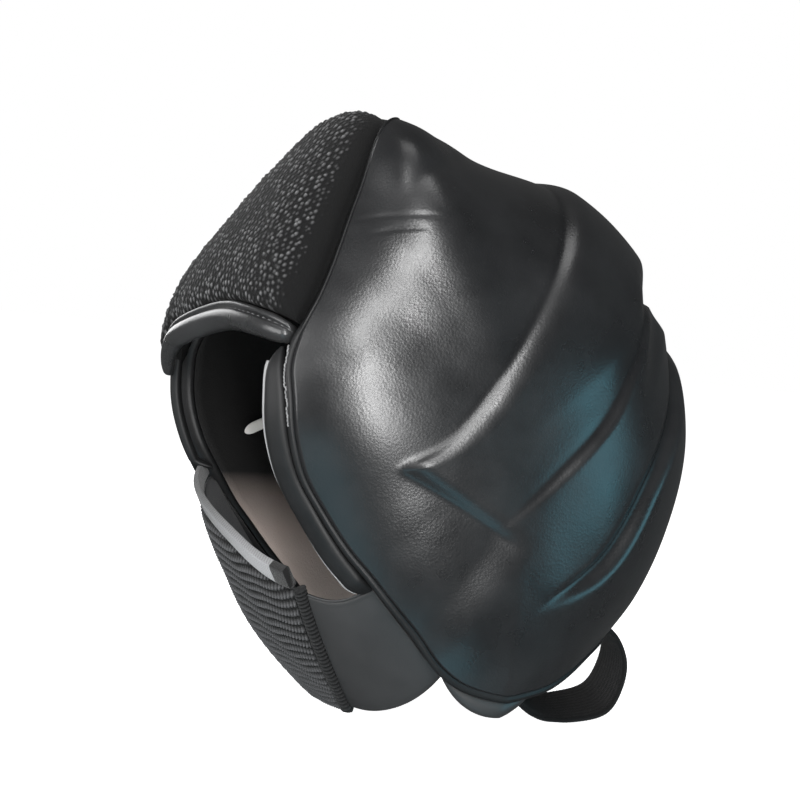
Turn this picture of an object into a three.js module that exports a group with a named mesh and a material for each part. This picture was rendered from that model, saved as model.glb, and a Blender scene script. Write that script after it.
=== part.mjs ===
// Padded martial arts head guard: moulded shell, brow pad, chin strap and nape loop.
// Millimetres, +Z up, the face looks along -Y and the wearer's left is +X.
import * as THREE from "three";

// Main form: an egg about a centre, given by its half width and its outline in the middle plane.
// The square column is the power of the cross section: 2 is an ellipse, more is squarer.
const CENTRE = new THREE.Vector3(0, -0.2, 127);
const HALF_WIDTH = 103;
// Pitch in degrees runs from under the chin (-98) past the face (0), the crown (90)
// and the back (180) to the nape (230) and round to under the chin again (262).
const OUTLINE = [
  { pitch: -98, radius: 155, square: 2.5 },
  { pitch: -85, radius: 145, square: 2.6 },
  { pitch: -72, radius: 131, square: 2.7 },
  { pitch: -58, radius: 120, square: 2.7 },
  { pitch: -45, radius: 111, square: 2.7 },
  { pitch: -25, radius: 106, square: 2.7 },
  { pitch: 0, radius: 113.5, square: 2.8 },
  { pitch: 10, radius: 114, square: 2.8 },
  { pitch: 20, radius: 110.5, square: 2.8 },
  { pitch: 40, radius: 110, square: 2.6 },
  { pitch: 55, radius: 118, square: 2.5 },
  { pitch: 70, radius: 131, square: 2.4 },
  { pitch: 82, radius: 120, square: 2.4 },
  { pitch: 95, radius: 112.5, square: 2.4 },
  { pitch: 110, radius: 112.5, square: 2.4 },
  { pitch: 125, radius: 112, square: 2.4 },
  { pitch: 138, radius: 110, square: 2.4 },
  { pitch: 148, radius: 103, square: 2.4 },
  { pitch: 158, radius: 100.5, square: 2.4 },
  { pitch: 180, radius: 104, square: 2.4 },
  { pitch: 200, radius: 107, square: 2.4 },
  { pitch: 218, radius: 113, square: 2.4 },
  { pitch: 235, radius: 120, square: 2.5 },
  { pitch: 250, radius: 141, square: 2.5 },
  { pitch: 262, radius: 155, square: 2.5 },
];

// Shell edge, left half: turn about the shell's pole from the crown (0) to the nape (180),
// and how far the edge reaches from the pole, both in degrees.
const POLE_PITCH = 165;
const CROWN_PITCH = 100;
const SHELL_EDGE = [
  { turn: 0, reach: 89 },
  { turn: 8, reach: 91 },
  { turn: 16, reach: 96.5 },
  { turn: 23, reach: 103 },
  { turn: 33, reach: 113 },
  { turn: 43, reach: 123 },
  { turn: 51, reach: 131 },
  { turn: 58, reach: 135 },
  { turn: 68, reach: 137 },
  { turn: 80, reach: 139 },
  { turn: 92, reach: 139 },
  { turn: 104, reach: 135.5 },
  { turn: 114, reach: 130 },
  { turn: 121, reach: 124 },
  { turn: 131, reach: 115 },
  { turn: 136.5, reach: 110 },
  { turn: 140, reach: 105.5 },
  { turn: 142, reach: 101 },
  { turn: 143.5, reach: 96 },
  { turn: 144.7, reach: 91 },
  { turn: 146, reach: 86 },
  { turn: 147.5, reach: 80.5 },
  { turn: 150, reach: 74.5 },
  { turn: 155, reach: 68 },
  { turn: 163, reach: 63 },
  { turn: 172, reach: 60.5 },
  { turn: 180, reach: 60 },
];
const SHELL_WALL = 10;
const RIM_WIDTH = 3.5;
const RIM_PROUD = 0.6;
const GAP = 0.3;

// Lames: each front edge in side view (y, z), crown end first, with the height and width of its step,
// and the length over which the height dies away behind it.
// The step dies away past the end of its edge, between the two distances of fade.
const LAMES = [
  {
    height: 4.5,
    width: 9,
    taper: 90,
    fade: { from: 60, to: 120 },
    edge: [
      { y: 51, z: 246 },
      { y: 37.5, z: 235.5 },
      { y: 30, z: 224 },
      { y: 21, z: 206 },
      { y: 4, z: 176 },
      { y: -13, z: 148 },
      { y: -31, z: 124 },
      { y: -49, z: 111 },
    ],
  },
  {
    height: 4,
    width: 5,
    taper: 45,
    fade: { from: -8, to: 5 },
    edge: [
      { y: 97, z: 193 },
      { y: 82, z: 189 },
      { y: 72, z: 189 },
      { y: 66, z: 186 },
      { y: 60.5, z: 178 },
      { y: 53, z: 163 },
      { y: 39, z: 138 },
      { y: 20, z: 116 },
      { y: -5, z: 88 },
    ],
  },
  {
    height: 4,
    width: 5,
    taper: 45,
    fade: { from: -25, to: 10 },
    edge: [
      { y: 109, z: 184 },
      { y: 90.5, z: 174.5 },
      { y: 85.5, z: 163 },
      { y: 80, z: 145 },
      { y: 65, z: 113 },
      { y: 48, z: 80 },
      { y: 25, z: 61 },
    ],
  },
];
// Valley along the second lame where it crosses the back of the head, and the y between which it comes in.
const VALLEY_LAME = 1;
const VALLEY_DEPTH = 6.5;
const VALLEY_WIDTH = 16;
const VALLEY_FROM = 56;
const VALLEY_FULL = 74;

// Under edge of the first lame, from its tip back to the second lame.
const UNDER_EDGE = [
  { y: -49, z: 111 },
  { y: -23, z: 98 },
  { y: -1, z: 86 },
];
const UNDER_WIDTH = 6;
const UNDER_FADE = { from: 0, to: 45 };
// Edges run on straight past their ends by this length.
const RUN_ON = 300;

// Padded lobe at the front of the crown: its back edge in side view, and its height and width.
const LOBE_EDGE = [
  { y: 29, z: 246 },
  { y: 3.5, z: 241.5 },
  { y: -19, z: 239 },
  { y: -33, z: 234.5 },
  { y: -41, z: 229 },
  { y: -48, z: 220 },
  { y: -53, z: 213 },
];
const LOBE_HEIGHT = 5;
const LOBE_WIDTH = 9;
const LOBE_FADE = { from: -30, to: -4 };

// Brow pad and its two bindings. The powers say how late the pad's face turns down to its edge.
const BROW_PITCH = 18;
const BROW_DROP = 0.5;
const BROW_SAG = 7.5;
const SAG_FROM = 15;
const SAG_SPAN = 55;
const BROW_BINDING_WIDTH = 11;
const BROW_BINDING_THICK = 12;
const BROW_BINDING_SINK = 3;
const BINDING_TAPER = [
  { along: 0, scale: 0.95 },
  { along: 0.2, scale: 1 },
  { along: 0.9, scale: 1 },
  { along: 1, scale: 0.7 },
];
const OUTLINE_AT_BROW = 105;
const PAD_GAP = 3.2;
const PAD_MIDDLE_PITCH = 50;
const PAD_PUFF = 8.5;
const PAD_EDGE_ROLL = 2;
const PAD_ROUND_POWER = 3.5;
const PAD_ROLL_POWER = 8;
const PAD_DEPTH = 7;
const CROWN_CORD = 2.2;
const CROWN_CORD_LIFT = 1.5;
const CROWN_CORD_FOOT = 70;

// Padded rolls inside the cheeks, from the brow down to the jaw tab and to the chin strap.
const CHEEK_ROLLS = [
  { name: "cheek_roll_left", side: 1, top: 16.2, low: -53.5 },
  { name: "cheek_roll_right", side: -1, top: 9.6, low: -21 },
];
const ROLL_WIDTH = 11;
const ROLL_THICK = 9;
const ROLL_SINK = 5.5;
const ROLL_GAP = 0.8;
const ROLL_STEPS = 16;
// How the thickness of a roll or a binding grows from its low or right end to its other end.
const ROLL_TAPER = [
  { along: 0, scale: 0.65 },
  { along: 0.12, scale: 0.9 },
  { along: 0.3, scale: 1 },
  { along: 0.88, scale: 1 },
  { along: 1, scale: 0.75 },
];

// Lips: soft padding that shows below the shell's lower edge on both sides, between two places along y.
const LIPS = [
  { name: "lip_left", side: 1 },
  { name: "lip_right", side: -1 },
];
const LIP_FRONT = -8;
const LIP_BACK = 27;
const LIP_HEIGHT = 9;
const LIP_THICK = 7;
const LIP_SINK = 5;
const LIP_DROP = 9.3;

// Chin strap: its upper edge falls from the right cheek to the closure on the left of the chin.
const STRAP_TOP = [
  { along: 0, pitch: -27 },
  { along: 0.3, pitch: -31 },
  { along: 0.55, pitch: -36 },
  { along: 0.8, pitch: -42 },
  { along: 1, pitch: -47 },
];
const STRAP_LOW = [
  { along: 0, pitch: -83 },
  { along: 0.3, pitch: -80 },
  { along: 0.55, pitch: -78 },
  { along: 1, pitch: -77 },
];
const STRAP_END = [
  { pitch: -85, lean: 2 },
  { pitch: -77, lean: 8 },
  { pitch: -68, lean: 16 },
  { pitch: -58, lean: 22 },
  { pitch: -46, lean: 26 },
];
const STRAP_THICK = 6;
const STRAP_SINK = 4;
const STRAP_SEAM = 1.9;
const BINDING_WIDTH = 8;
const BINDING_THICK = 7;
const BINDING_LIFT = 6;
const END_CORD = 6;
const TAB_TOP = [
  { along: 0, pitch: -49 },
  { along: 0.5, pitch: -53 },
  { along: 1, pitch: -55 },
];
const TAB_LOW = [
  { along: 0, pitch: -77 },
  { along: 0.5, pitch: -80 },
  { along: 1, pitch: -84 },
];
const TAB_THICK = 3;
const TAB_SINK = 7;

// Nape loop: centre line of the webbing in side view, and the webbing's section.
const LOOP_PATH = [
  { y: 72, z: 37 },
  { y: 81, z: 41 },
  { y: 93, z: 41 },
  { y: 101, z: 30 },
  { y: 101, z: 18 },
  { y: 95, z: 6 },
  { y: 81, z: 1.3 },
  { y: 63, z: 1.3 },
  { y: 53, z: 8 },
  { y: 55, z: 20 },
];
const WEBBING_WIDTH = 28;
const WEBBING_THICK = 2.6;

// Small blank tongue sewn inside the right cheek.
const TONGUE_FRONT = { pitch: -17, lean: -56 };
const TONGUE_BACK = { pitch: -13, lean: -69 };
const TONGUE_WIDTH = 5;
const TONGUE_THICK = 1.2;
const TONGUE_STANDS_OFF = 3;

// Mesh steps
const EDGE_STEPS = 76;
const SHELL_RINGS = 24;
const LINING_RINGS = 8;
const SHELL_POLE_HOLE = 0.03;
const BROW_STEPS = 12;
const PAD_RINGS = 9;
const PAD_BACK_RINGS = 3;
const STRAP_COLUMNS = 22;
const STRAP_ROWS = 9;
const BINDING_STEPS = 24;
const CORD_STEPS = 14;
const TAB_COLUMNS = 8;
const TONGUE_STEPS = 4;
const LOOP_STEPS = 36;
const LINE_STEPS = 48;
const LIP_EDGE_STEPS = 320;

const radians = THREE.MathUtils.degToRad;
const lerp = THREE.MathUtils.lerp;
const smoothstep = THREE.MathUtils.smoothstep;

// Value at a key by a smooth curve through a table's rows, the ends held.
function tableValue(rows, key, column, at) {
  const last = rows.length - 1;
  const i = rows.findIndex((row) => row[key] > at) - 1;
  if (at >= rows[last][key]) return rows[last][column];
  if (i < 0) return rows[0][column];
  const [a, b] = [rows[i], rows[i + 1]];
  const before = rows[Math.max(i - 1, 0)];
  const after = rows[Math.min(i + 2, last)];
  const span = b[key] - a[key];
  const t = (at - a[key]) / span;
  const slopeA = ((b[column] - before[column]) / (b[key] - before[key])) * span;
  const slopeB = ((after[column] - a[column]) / (after[key] - a[key])) * span;
  const rise = b[column] - a[column];
  const bend = 3 * rise - 2 * slopeA - slopeB;
  const twist = slopeA + slopeB - 2 * rise;
  return a[column] + t * (slopeA + t * (bend + t * twist));
}

// Unit direction from the centre at a pitch and a lean toward the wearer's left.
function direction(pitch, lean) {
  const [p, l] = [radians(pitch), radians(lean)];
  return new THREE.Vector3(Math.sin(l), -Math.cos(l) * Math.cos(p), Math.cos(l) * Math.sin(p));
}

// Pitch of a direction, between the first and last rows of the outline.
function pitchOf(dir) {
  const pitch = THREE.MathUtils.radToDeg(Math.atan2(dir.z, -dir.y));
  return pitch < OUTLINE[0].pitch ? pitch + 360 : pitch;
}

function leanOf(dir) {
  return THREE.MathUtils.radToDeg(Math.atan2(dir.x, Math.hypot(dir.y, dir.z)));
}

// Distance from the centre to the main form along a direction.
function formRadius(dir) {
  const pitch = pitchOf(dir);
  const middle = tableValue(OUTLINE, "pitch", "radius", pitch);
  const power = tableValue(OUTLINE, "pitch", "square", pitch);
  const side = Math.abs(dir.x) / HALF_WIDTH;
  const flat = Math.hypot(dir.y, dir.z) / middle;
  return (side ** power + flat ** power) ** (-1 / power);
}

// Point that stands off the main form by a distance, along a direction from the centre.
function onForm(dir, offset = 0) {
  return CENTRE.clone().addScaledVector(dir, formRadius(dir) + offset);
}

function directionTo(point) {
  return point.clone().sub(CENTRE).normalize();
}

// Smooth side-view line through a table of y and z.
function sideLine(rows, steps) {
  const curve = new THREE.CatmullRomCurve3(rows.map((row) => new THREE.Vector3(0, row.y, row.z)));
  return curve.getSpacedPoints(steps);
}

// Side-view line that runs on straight past both ends.
function endlessLine(rows) {
  const points = sideLine(rows, LINE_STEPS);
  const runOn = (end, before) => end.clone().addScaledVector(end.clone().sub(before).normalize(), RUN_ON);
  return [runOn(points[0], points[1]), ...points, runOn(points.at(-1), points.at(-2))];
}

// Side-view distance from a point to a line, positive behind or above it.
function lineDistance(line, point) {
  let best = Infinity;
  for (let i = 0; i + 1 < line.length; i++) {
    const [a, b] = [line[i], line[i + 1]];
    const [dy, dz] = [b.y - a.y, b.z - a.z];
    const [py, pz] = [point.y - a.y, point.z - a.z];
    const t = THREE.MathUtils.clamp((py * dy + pz * dz) / (dy * dy + dz * dz), 0, 1);
    const distance = Math.hypot(py - t * dy, pz - t * dz);
    if (distance < Math.abs(best)) best = dy * pz - dz * py >= 0 ? distance : -distance;
  }
  return best;
}

// Share of a line's height that is left at a point, dying away past the end that its table gives.
function fadePast(line, point, fade) {
  const [end, beyond] = line.slice(-2);
  const past = ((point.y - end.y) * (beyond.y - end.y) + (point.z - end.z) * (beyond.z - end.z)) / RUN_ON;
  return 1 - smoothstep(past, fade.from, fade.to);
}

// Step that is sharp at its foot and round at its top.
function step(distance, width) {
  const t = THREE.MathUtils.clamp(distance / width, 0, 1);
  return 1 - (1 - t) ** 2;
}

const lameLines = LAMES.map((lame) => endlessLine(lame.edge));
const underLine = endlessLine(UNDER_EDGE);
const lobeLine = endlessLine(LOBE_EDGE);

// Depth of the valley between the first two lames, at the back of the head.
function valley(point) {
  const t = Math.min(Math.abs(lineDistance(lameLines[VALLEY_LAME], point)) / VALLEY_WIDTH, 1);
  return VALLEY_DEPTH * (1 - t * t) ** 2 * smoothstep(point.y, VALLEY_FROM, VALLEY_FULL);
}

// Height of the moulded relief at a place on the shell.
function relief(point) {
  const heights = LAMES.map((lame, i) => {
    const distance = lineDistance(lameLines[i], point);
    const taper = Math.exp(-Math.max(distance, 0) / lame.taper);
    return lame.height * step(distance, lame.width) * fadePast(lameLines[i], point, lame.fade) * taper;
  });
  const under = 1 - step(lineDistance(underLine, point), UNDER_WIDTH);
  heights[0] *= 1 - under * fadePast(underLine, point, UNDER_FADE);
  const lobe = LOBE_HEIGHT * step(-lineDistance(lobeLine, point), LOBE_WIDTH) * fadePast(lobeLine, point, LOBE_FADE);
  return heights.reduce((sum, height) => sum + height, lobe - valley(point));
}

// Closed mesh through rings of equal length: a torus where closed, or else capped at both ends.
function skin(rings, closed = false) {
  const count = rings[0].length;
  const index = [];
  const quad = (a, b, c, d) => index.push(a, b, c, a, c, d);
  const spans = closed ? rings.length : rings.length - 1;
  for (let k = 0; k < spans; k++) {
    const [here, next] = [k * count, ((k + 1) % rings.length) * count];
    for (let i = 0; i < count; i++) {
      const j = (i + 1) % count;
      quad(here + i, here + j, next + j, next + i);
    }
  }
  if (!closed) {
    const last = (rings.length - 1) * count;
    for (let i = 0; i + 1 < count / 2; i++) {
      const far = count - 1 - i;
      quad(far, far - 1, i + 1, i);
      quad(last + i, last + i + 1, last + far - 1, last + far);
    }
  }
  const points = rings.flat();
  const geometry = new THREE.BufferGeometry();
  const numbers = points.flatMap((point) => point.toArray());
  geometry.setAttribute("position", new THREE.Float32BufferAttribute(numbers, 3));
  geometry.setIndex(volumeOf(points, index) < 0 ? index.reverse() : index);
  geometry.computeVertexNormals();
  return geometry;
}

function volumeOf(points, index) {
  let volume = 0;
  for (let i = 0; i < index.length; i += 3) {
    const [a, b, c] = [points[index[i]], points[index[i + 1]], points[index[i + 2]]];
    volume += a.dot(b.clone().cross(c));
  }
  return volume;
}

// Leather and cloth are pressed flat where they would pass below the floor.
function pressedFlat(rings) {
  rings.forEach((ring) => ring.forEach((point) => (point.z = Math.max(point.z, 0))));
  return rings;
}

// Shell edge as evenly spaced points on the main form, all the way round.
function shellEdge(steps) {
  const pole = direction(POLE_PITCH, 0);
  const crownward = direction(POLE_PITCH - 90, 0);
  const left = new THREE.Vector3(1, 0, 0);
  const place = ({ turn, reach }, side) => {
    const sweep = Math.sin(radians(reach));
    return pole
      .clone()
      .multiplyScalar(Math.cos(radians(reach)))
      .addScaledVector(crownward, sweep * Math.cos(radians(turn)))
      .addScaledVector(left, side * sweep * Math.sin(radians(turn)));
  };
  const near = SHELL_EDGE.map((row) => place(row, 1));
  const far = SHELL_EDGE.slice(1, -1).reverse().map((row) => place(row, -1));
  const loop = new THREE.CatmullRomCurve3([...near, ...far].map((dir) => onForm(dir)), true);
  return loop.getSpacedPoints(steps).slice(0, steps).map((point) => onForm(directionTo(point)));
}

// Frames along a closed edge: outward normal, and the way into the shell along its surface.
function edgeFrames(points) {
  return points.map((point, i) => {
    const before = points[(i + points.length - 1) % points.length];
    const after = points[(i + 1) % points.length];
    const normal = directionTo(point);
    const tangent = after.clone().sub(before).normalize();
    const inward = normal.clone().cross(tangent).normalize();
    return { point, normal, inward };
  });
}

const edge = edgeFrames(shellEdge(EDGE_STEPS));

// Directions of a line that runs along the shell edge, moved into the shell by a distance.
function besideEdge(distance) {
  return edge.map(({ point, inward }) => directionTo(point.clone().addScaledVector(inward, distance)));
}

// Dish on the main form: rings from its middle out over the edge and back along the inside.
function dish(middle, outline, outside, inside, outerRings, innerRings) {
  const ring = (share, offset) =>
    outline.map((dir) => {
      const angle = middle.angleTo(dir) * share;
      const axis = middle.clone().cross(dir).normalize();
      const along = middle.clone().applyAxisAngle(axis, angle);
      return onForm(along, offset(along, share));
    });
  const shares = (count) =>
    Array.from({ length: count + 1 }, (_, i) => lerp(SHELL_POLE_HOLE, 1, i / count));
  const outer = shares(outerRings).map((share) => ring(share, outside));
  const inner = shares(innerRings).reverse().map((share) => ring(share, inside));
  return skin([...outer, ...inner]);
}

function shell() {
  const middle = direction(POLE_PITCH, 0);
  const outside = (dir) => relief(onForm(dir));
  const inside = () => -SHELL_WALL;
  return dish(middle, besideEdge(RIM_WIDTH + GAP), outside, inside, SHELL_RINGS, LINING_RINGS);
}

// Rolled edge of the shell: a bar with a round nose, all the way round.
const RIM_SECTION = [
  { inward: 1, rise: 0 },
  { inward: 0.55, rise: 0.03 },
  { inward: 0.2, rise: -0.06 },
  { inward: 0.02, rise: -0.3 },
  { inward: 0.02, rise: -0.68 },
  { inward: 0.2, rise: -0.93 },
  { inward: 0.55, rise: -1 },
  { inward: 1, rise: -1 },
];

function shellRim() {
  const rings = edge.map(({ point, inward }) => {
    const shellHeight = relief(point);
    return RIM_SECTION.map((row) => {
      const dir = directionTo(point.clone().addScaledVector(inward, row.inward * RIM_WIDTH));
      return onForm(dir, row.rise * SHELL_WALL + (RIM_PROUD + shellHeight) * (1 + row.rise));
    });
  });
  return skin(pressedFlat(rings), true);
}

// Lean of the shell edge at a pitch, on the left side of the face and jaw.
const leftEdge = edge
  .map(({ point }) => directionTo(point))
  .filter((dir) => dir.x > 0 && pitchOf(dir) < CROWN_PITCH)
  .map((dir) => ({ pitch: pitchOf(dir), lean: leanOf(dir) }))
  .sort((a, b) => a.pitch - b.pitch);

function edgeLean(pitch) {
  return tableValue(leftEdge, "pitch", "lean", pitch);
}

// Pitch of the brow edge, a little lower at the temples, where the soft pad sags to the right.
function browPitch(lean) {
  const sag = BROW_SAG * smoothstep(SAG_FROM - lean, 0, SAG_SPAN);
  return BROW_PITCH - BROW_DROP * (lean / edgeLean(BROW_PITCH)) ** 2 - sag;
}

const SEAM_DEGREES = 0.9;
const BINDING_END_DEGREES = 1.4;
const BINDING_DEGREES = THREE.MathUtils.radToDeg(BROW_BINDING_WIDTH / OUTLINE_AT_BROW);

// Pitch where the brow pad starts, just above its binding.
function browTop(lean) {
  return browPitch(lean) + BINDING_DEGREES + SEAM_DEGREES / 2;
}

// Outline of the brow pad: down the left shell edge, across the brow and up the right shell edge.
function padOutline() {
  const beside = besideEdge(-PAD_GAP);
  const half = beside.length / 2;
  const onBrow = (dir) => pitchOf(dir) > browTop(leanOf(dir)) && pitchOf(dir) < CROWN_PITCH;
  const left = beside.slice(0, half).filter(onBrow);
  const right = beside.slice(half).filter(onBrow);
  const reach = leanOf(left.at(-1));
  const brow = Array.from({ length: BROW_STEPS }, (_, i) => {
    const lean = lerp(reach, -reach, (i + 0.5) / BROW_STEPS);
    return direction(browTop(lean), lean);
  });
  return [...left, ...brow, ...right];
}

function browPad() {
  const outside = (dir, share) => {
    const puff = PAD_PUFF * Math.sqrt(1 - share ** PAD_ROUND_POWER);
    return puff - PAD_EDGE_ROLL * share ** PAD_ROLL_POWER;
  };
  const inside = () => -PAD_DEPTH;
  const middle = direction(PAD_MIDDLE_PITCH, 0);
  return dish(middle, padOutline(), outside, inside, PAD_RINGS, PAD_BACK_RINGS);
}

// Bar along a line of directions on the form; section rows give width up the form and height off it,
// and the taper's rows give its scale along the line.
function bar(line, section, width, thick, sink, taper = []) {
  const points = line.map((dir) => onForm(dir, -sink));
  const rings = points.map((point, i) => {
    const before = points[Math.max(i - 1, 0)];
    const after = points[Math.min(i + 1, points.length - 1)];
    const normal = directionTo(point);
    const across = normal.clone().cross(after.clone().sub(before)).normalize();
    const scale = taper.length ? tableValue(taper, "along", "scale", i / (points.length - 1)) : 1;
    return section.map((row) =>
      point
        .clone()
        .addScaledVector(across, row.across * width * scale)
        .addScaledVector(normal, row.off * thick * scale));
  });
  return skin(pressedFlat(rings));
}

const ROUND_SIDES = 8;
const ROUND_SECTION = Array.from({ length: ROUND_SIDES }, (_, i) => {
  const angle = ((i + 0.5) / ROUND_SIDES) * 2 * Math.PI;
  return { across: Math.cos(angle) / 2, off: Math.sin(angle) / 2 };
});

const FLAT_SECTION = [
  { across: -0.5, off: -0.3 },
  { across: -0.5, off: 0.3 },
  { across: -0.4, off: 0.5 },
  { across: 0.4, off: 0.5 },
  { across: 0.5, off: 0.3 },
  { across: 0.5, off: -0.3 },
  { across: 0.4, off: -0.5 },
  { across: -0.4, off: -0.5 },
];

// A thick roll and a thin one above it, as a folded and sewn binding shows.
const DOUBLE_ROLL = [
  { across: -0.5, off: -0.3 },
  { across: -0.5, off: 0.1 },
  { across: -0.36, off: 0.36 },
  { across: -0.1, off: 0.42 },
  { across: 0.1, off: 0.32 },
  { across: 0.17, off: 0.22 },
  { across: 0.24, off: 0.34 },
  { across: 0.38, off: 0.36 },
  { across: 0.5, off: 0.12 },
  { across: 0.5, off: -0.3 },
  { across: 0.2, off: -0.5 },
  { across: -0.2, off: -0.5 },
];

function browBinding() {
  const reach = edgeLean(BROW_PITCH) - BINDING_END_DEGREES;
  const line = Array.from({ length: BINDING_STEPS + 1 }, (_, i) => {
    const lean = lerp(-reach, reach, i / BINDING_STEPS);
    return direction(browPitch(lean) + BINDING_DEGREES / 2, lean);
  });
  const width = BROW_BINDING_WIDTH - 2 * GAP;
  return bar(line, DOUBLE_ROLL, width, BROW_BINDING_THICK, BROW_BINDING_SINK, BINDING_TAPER);
}

// Thin cord round the crown end of the pad, in the seam between pad and shell.
function crownBinding() {
  const seam = besideEdge(-PAD_GAP / 2);
  const half = seam.length / 2;
  const round = [...seam.slice(half), ...seam.slice(0, half)];
  const line = round.filter((dir) => pitchOf(dir) > CROWN_CORD_FOOT && pitchOf(dir) < CROWN_PITCH);
  return bar(line, ROUND_SECTION, CROWN_CORD, CROWN_CORD, -CROWN_CORD_LIFT);
}

// Soft roll along the inside of the shell's edge, beside the face.
function cheekRoll({ side, top, low }) {
  const inset = THREE.MathUtils.radToDeg((ROLL_WIDTH / 2 + ROLL_GAP) / OUTLINE_AT_BROW);
  const line = Array.from({ length: ROLL_STEPS + 1 }, (_, i) => {
    const pitch = lerp(low, top, i / ROLL_STEPS);
    return direction(pitch, side * (edgeLean(pitch) - inset));
  });
  return bar(line, ROUND_SECTION, ROLL_WIDTH, ROLL_THICK, ROLL_SINK, ROLL_TAPER);
}

// Soft roll that hangs just below the shell's lower edge, beside the neck.
function lip({ side }) {
  const line = shellEdge(LIP_EDGE_STEPS)
    .filter((point) => point.x * side > 0 && point.z < CENTRE.z)
    .filter((point) => point.y > LIP_FRONT && point.y < LIP_BACK);
  const rings = line.map((point, i) => {
    const scale = tableValue(ROLL_TAPER, "along", "scale", i / (line.length - 1));
    const middle = onForm(directionTo(point), -LIP_SINK);
    return ROUND_SECTION.map((row) => {
      const [x, z] = [row.across * LIP_THICK * scale, row.off * LIP_HEIGHT * scale];
      return middle.clone().add(new THREE.Vector3(x, 0, z - LIP_DROP));
    });
  });
  return skin(pressedFlat(rings));
}

function strapEndLean(pitch) {
  return tableValue(STRAP_END, "pitch", "lean", pitch);
}

// Curved sheet on the form between two upright edges; the rows of top and low give its other edges.
function sheet(columns, rows, top, low, leanAt, sink, thick) {
  const ring = (along) => {
    const upper = tableValue(top, "along", "pitch", along);
    const lower = tableValue(low, "along", "pitch", along);
    const at = (share, offset) => {
      const pitch = lerp(lower, upper, share);
      return onForm(direction(pitch, leanAt(pitch, along)), offset);
    };
    const shares = Array.from({ length: rows + 1 }, (_, i) => i / rows);
    const front = shares.map((share) => at(share, -sink));
    const back = shares.reverse().map((share) => at(share, -sink - thick));
    return [...front, ...back];
  };
  return skin(pressedFlat(Array.from({ length: columns + 1 }, (_, i) => ring(i / columns))));
}

// Lean of the chin strap from the right shell edge to the corded end.
function strapLean(pitch, along) {
  return lerp(STRAP_SEAM - edgeLean(pitch), strapEndLean(pitch) - STRAP_SEAM, along);
}

function chinStrap() {
  return sheet(STRAP_COLUMNS, STRAP_ROWS, STRAP_TOP, STRAP_LOW, strapLean, STRAP_SINK, STRAP_THICK);
}

function jawTab() {
  const tabLean = (pitch, along) =>
    lerp(strapEndLean(pitch) + STRAP_SEAM, edgeLean(pitch) - STRAP_SEAM, along);
  return sheet(TAB_COLUMNS, STRAP_ROWS, TAB_TOP, TAB_LOW, tabLean, TAB_SINK, TAB_THICK);
}

// Grey ribbon folded over the upper edge of the chin strap.
function chinBinding() {
  const lift = THREE.MathUtils.radToDeg(BINDING_LIFT / OUTLINE_AT_BROW);
  const line = Array.from({ length: BINDING_STEPS + 1 }, (_, i) => {
    const along = i / BINDING_STEPS;
    const pitch = tableValue(STRAP_TOP, "along", "pitch", along);
    return direction(pitch + lift, strapLean(pitch + lift, along));
  });
  return bar(line, FLAT_SECTION, BINDING_WIDTH, BINDING_THICK, STRAP_SINK + STRAP_THICK / 2);
}

function strapCord() {
  const line = Array.from({ length: CORD_STEPS + 1 }, (_, i) => {
    const pitch = lerp(STRAP_TOP.at(-1).pitch, STRAP_LOW.at(-1).pitch, i / CORD_STEPS);
    return direction(pitch, strapEndLean(pitch));
  });
  return bar(line, ROUND_SECTION, END_CORD, END_CORD, STRAP_SINK + END_CORD / 2);
}

function tongue() {
  const line = Array.from({ length: TONGUE_STEPS + 1 }, (_, i) => {
    const along = i / TONGUE_STEPS;
    const pitch = lerp(TONGUE_FRONT.pitch, TONGUE_BACK.pitch, along);
    return direction(pitch, lerp(TONGUE_FRONT.lean, TONGUE_BACK.lean, along));
  });
  return bar(line, FLAT_SECTION, TONGUE_WIDTH, TONGUE_THICK, SHELL_WALL + TONGUE_STANDS_OFF);
}

// Webbing loop that hangs under the nape, its ends sewn behind the shell's edge.
function napeLoop() {
  const points = sideLine(LOOP_PATH, LOOP_STEPS);
  const rings = points.map((point, i) => {
    const before = points[Math.max(i - 1, 0)];
    const after = points[Math.min(i + 1, points.length - 1)];
    const along = after.clone().sub(before).normalize();
    const off = new THREE.Vector3(0, -along.z, along.y);
    return FLAT_SECTION.map((row) => {
      const corner = point.clone().addScaledVector(off, row.off * WEBBING_THICK);
      corner.x = row.across * WEBBING_WIDTH;
      return corner;
    });
  });
  return skin(pressedFlat(rings));
}

function place(name, geometry, look) {
  const mesh = new THREE.Mesh(geometry, new THREE.MeshStandardMaterial(look));
  mesh.name = name;
  return mesh;
}

const LEATHER = { color: 0x1b1c1e, roughness: 0.42, metalness: 0 };
const MESH_CLOTH = { color: 0x17181a, roughness: 0.85, metalness: 0 };
const RIBBON = { color: 0x45464a, roughness: 0.7, metalness: 0 };
const WEBBING = { color: 0x121315, roughness: 0.75, metalness: 0 };
const BLANK_TAPE = { color: 0xe8e6e0, roughness: 0.6, metalness: 0 };

const headGuard = new THREE.Group();
headGuard.add(place("shell", shell(), LEATHER));
headGuard.add(place("shell_rim", shellRim(), LEATHER));
headGuard.add(place("brow_pad", browPad(), MESH_CLOTH));
headGuard.add(place("brow_binding", browBinding(), LEATHER));
headGuard.add(place("crown_binding", crownBinding(), LEATHER));
CHEEK_ROLLS.forEach((roll) => headGuard.add(place(roll.name, cheekRoll(roll), LEATHER)));
LIPS.forEach((row) => headGuard.add(place(row.name, lip(row), LEATHER)));
headGuard.add(place("chin_strap", chinStrap(), MESH_CLOTH));
headGuard.add(place("chin_binding", chinBinding(), RIBBON));
headGuard.add(place("strap_cord", strapCord(), MESH_CLOTH));
headGuard.add(place("jaw_tab", jawTab(), LEATHER));
headGuard.add(place("nape_loop", napeLoop(), WEBBING));
headGuard.add(place("inner_tongue", tongue(), BLANK_TAPE));

export default headGuard;
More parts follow.
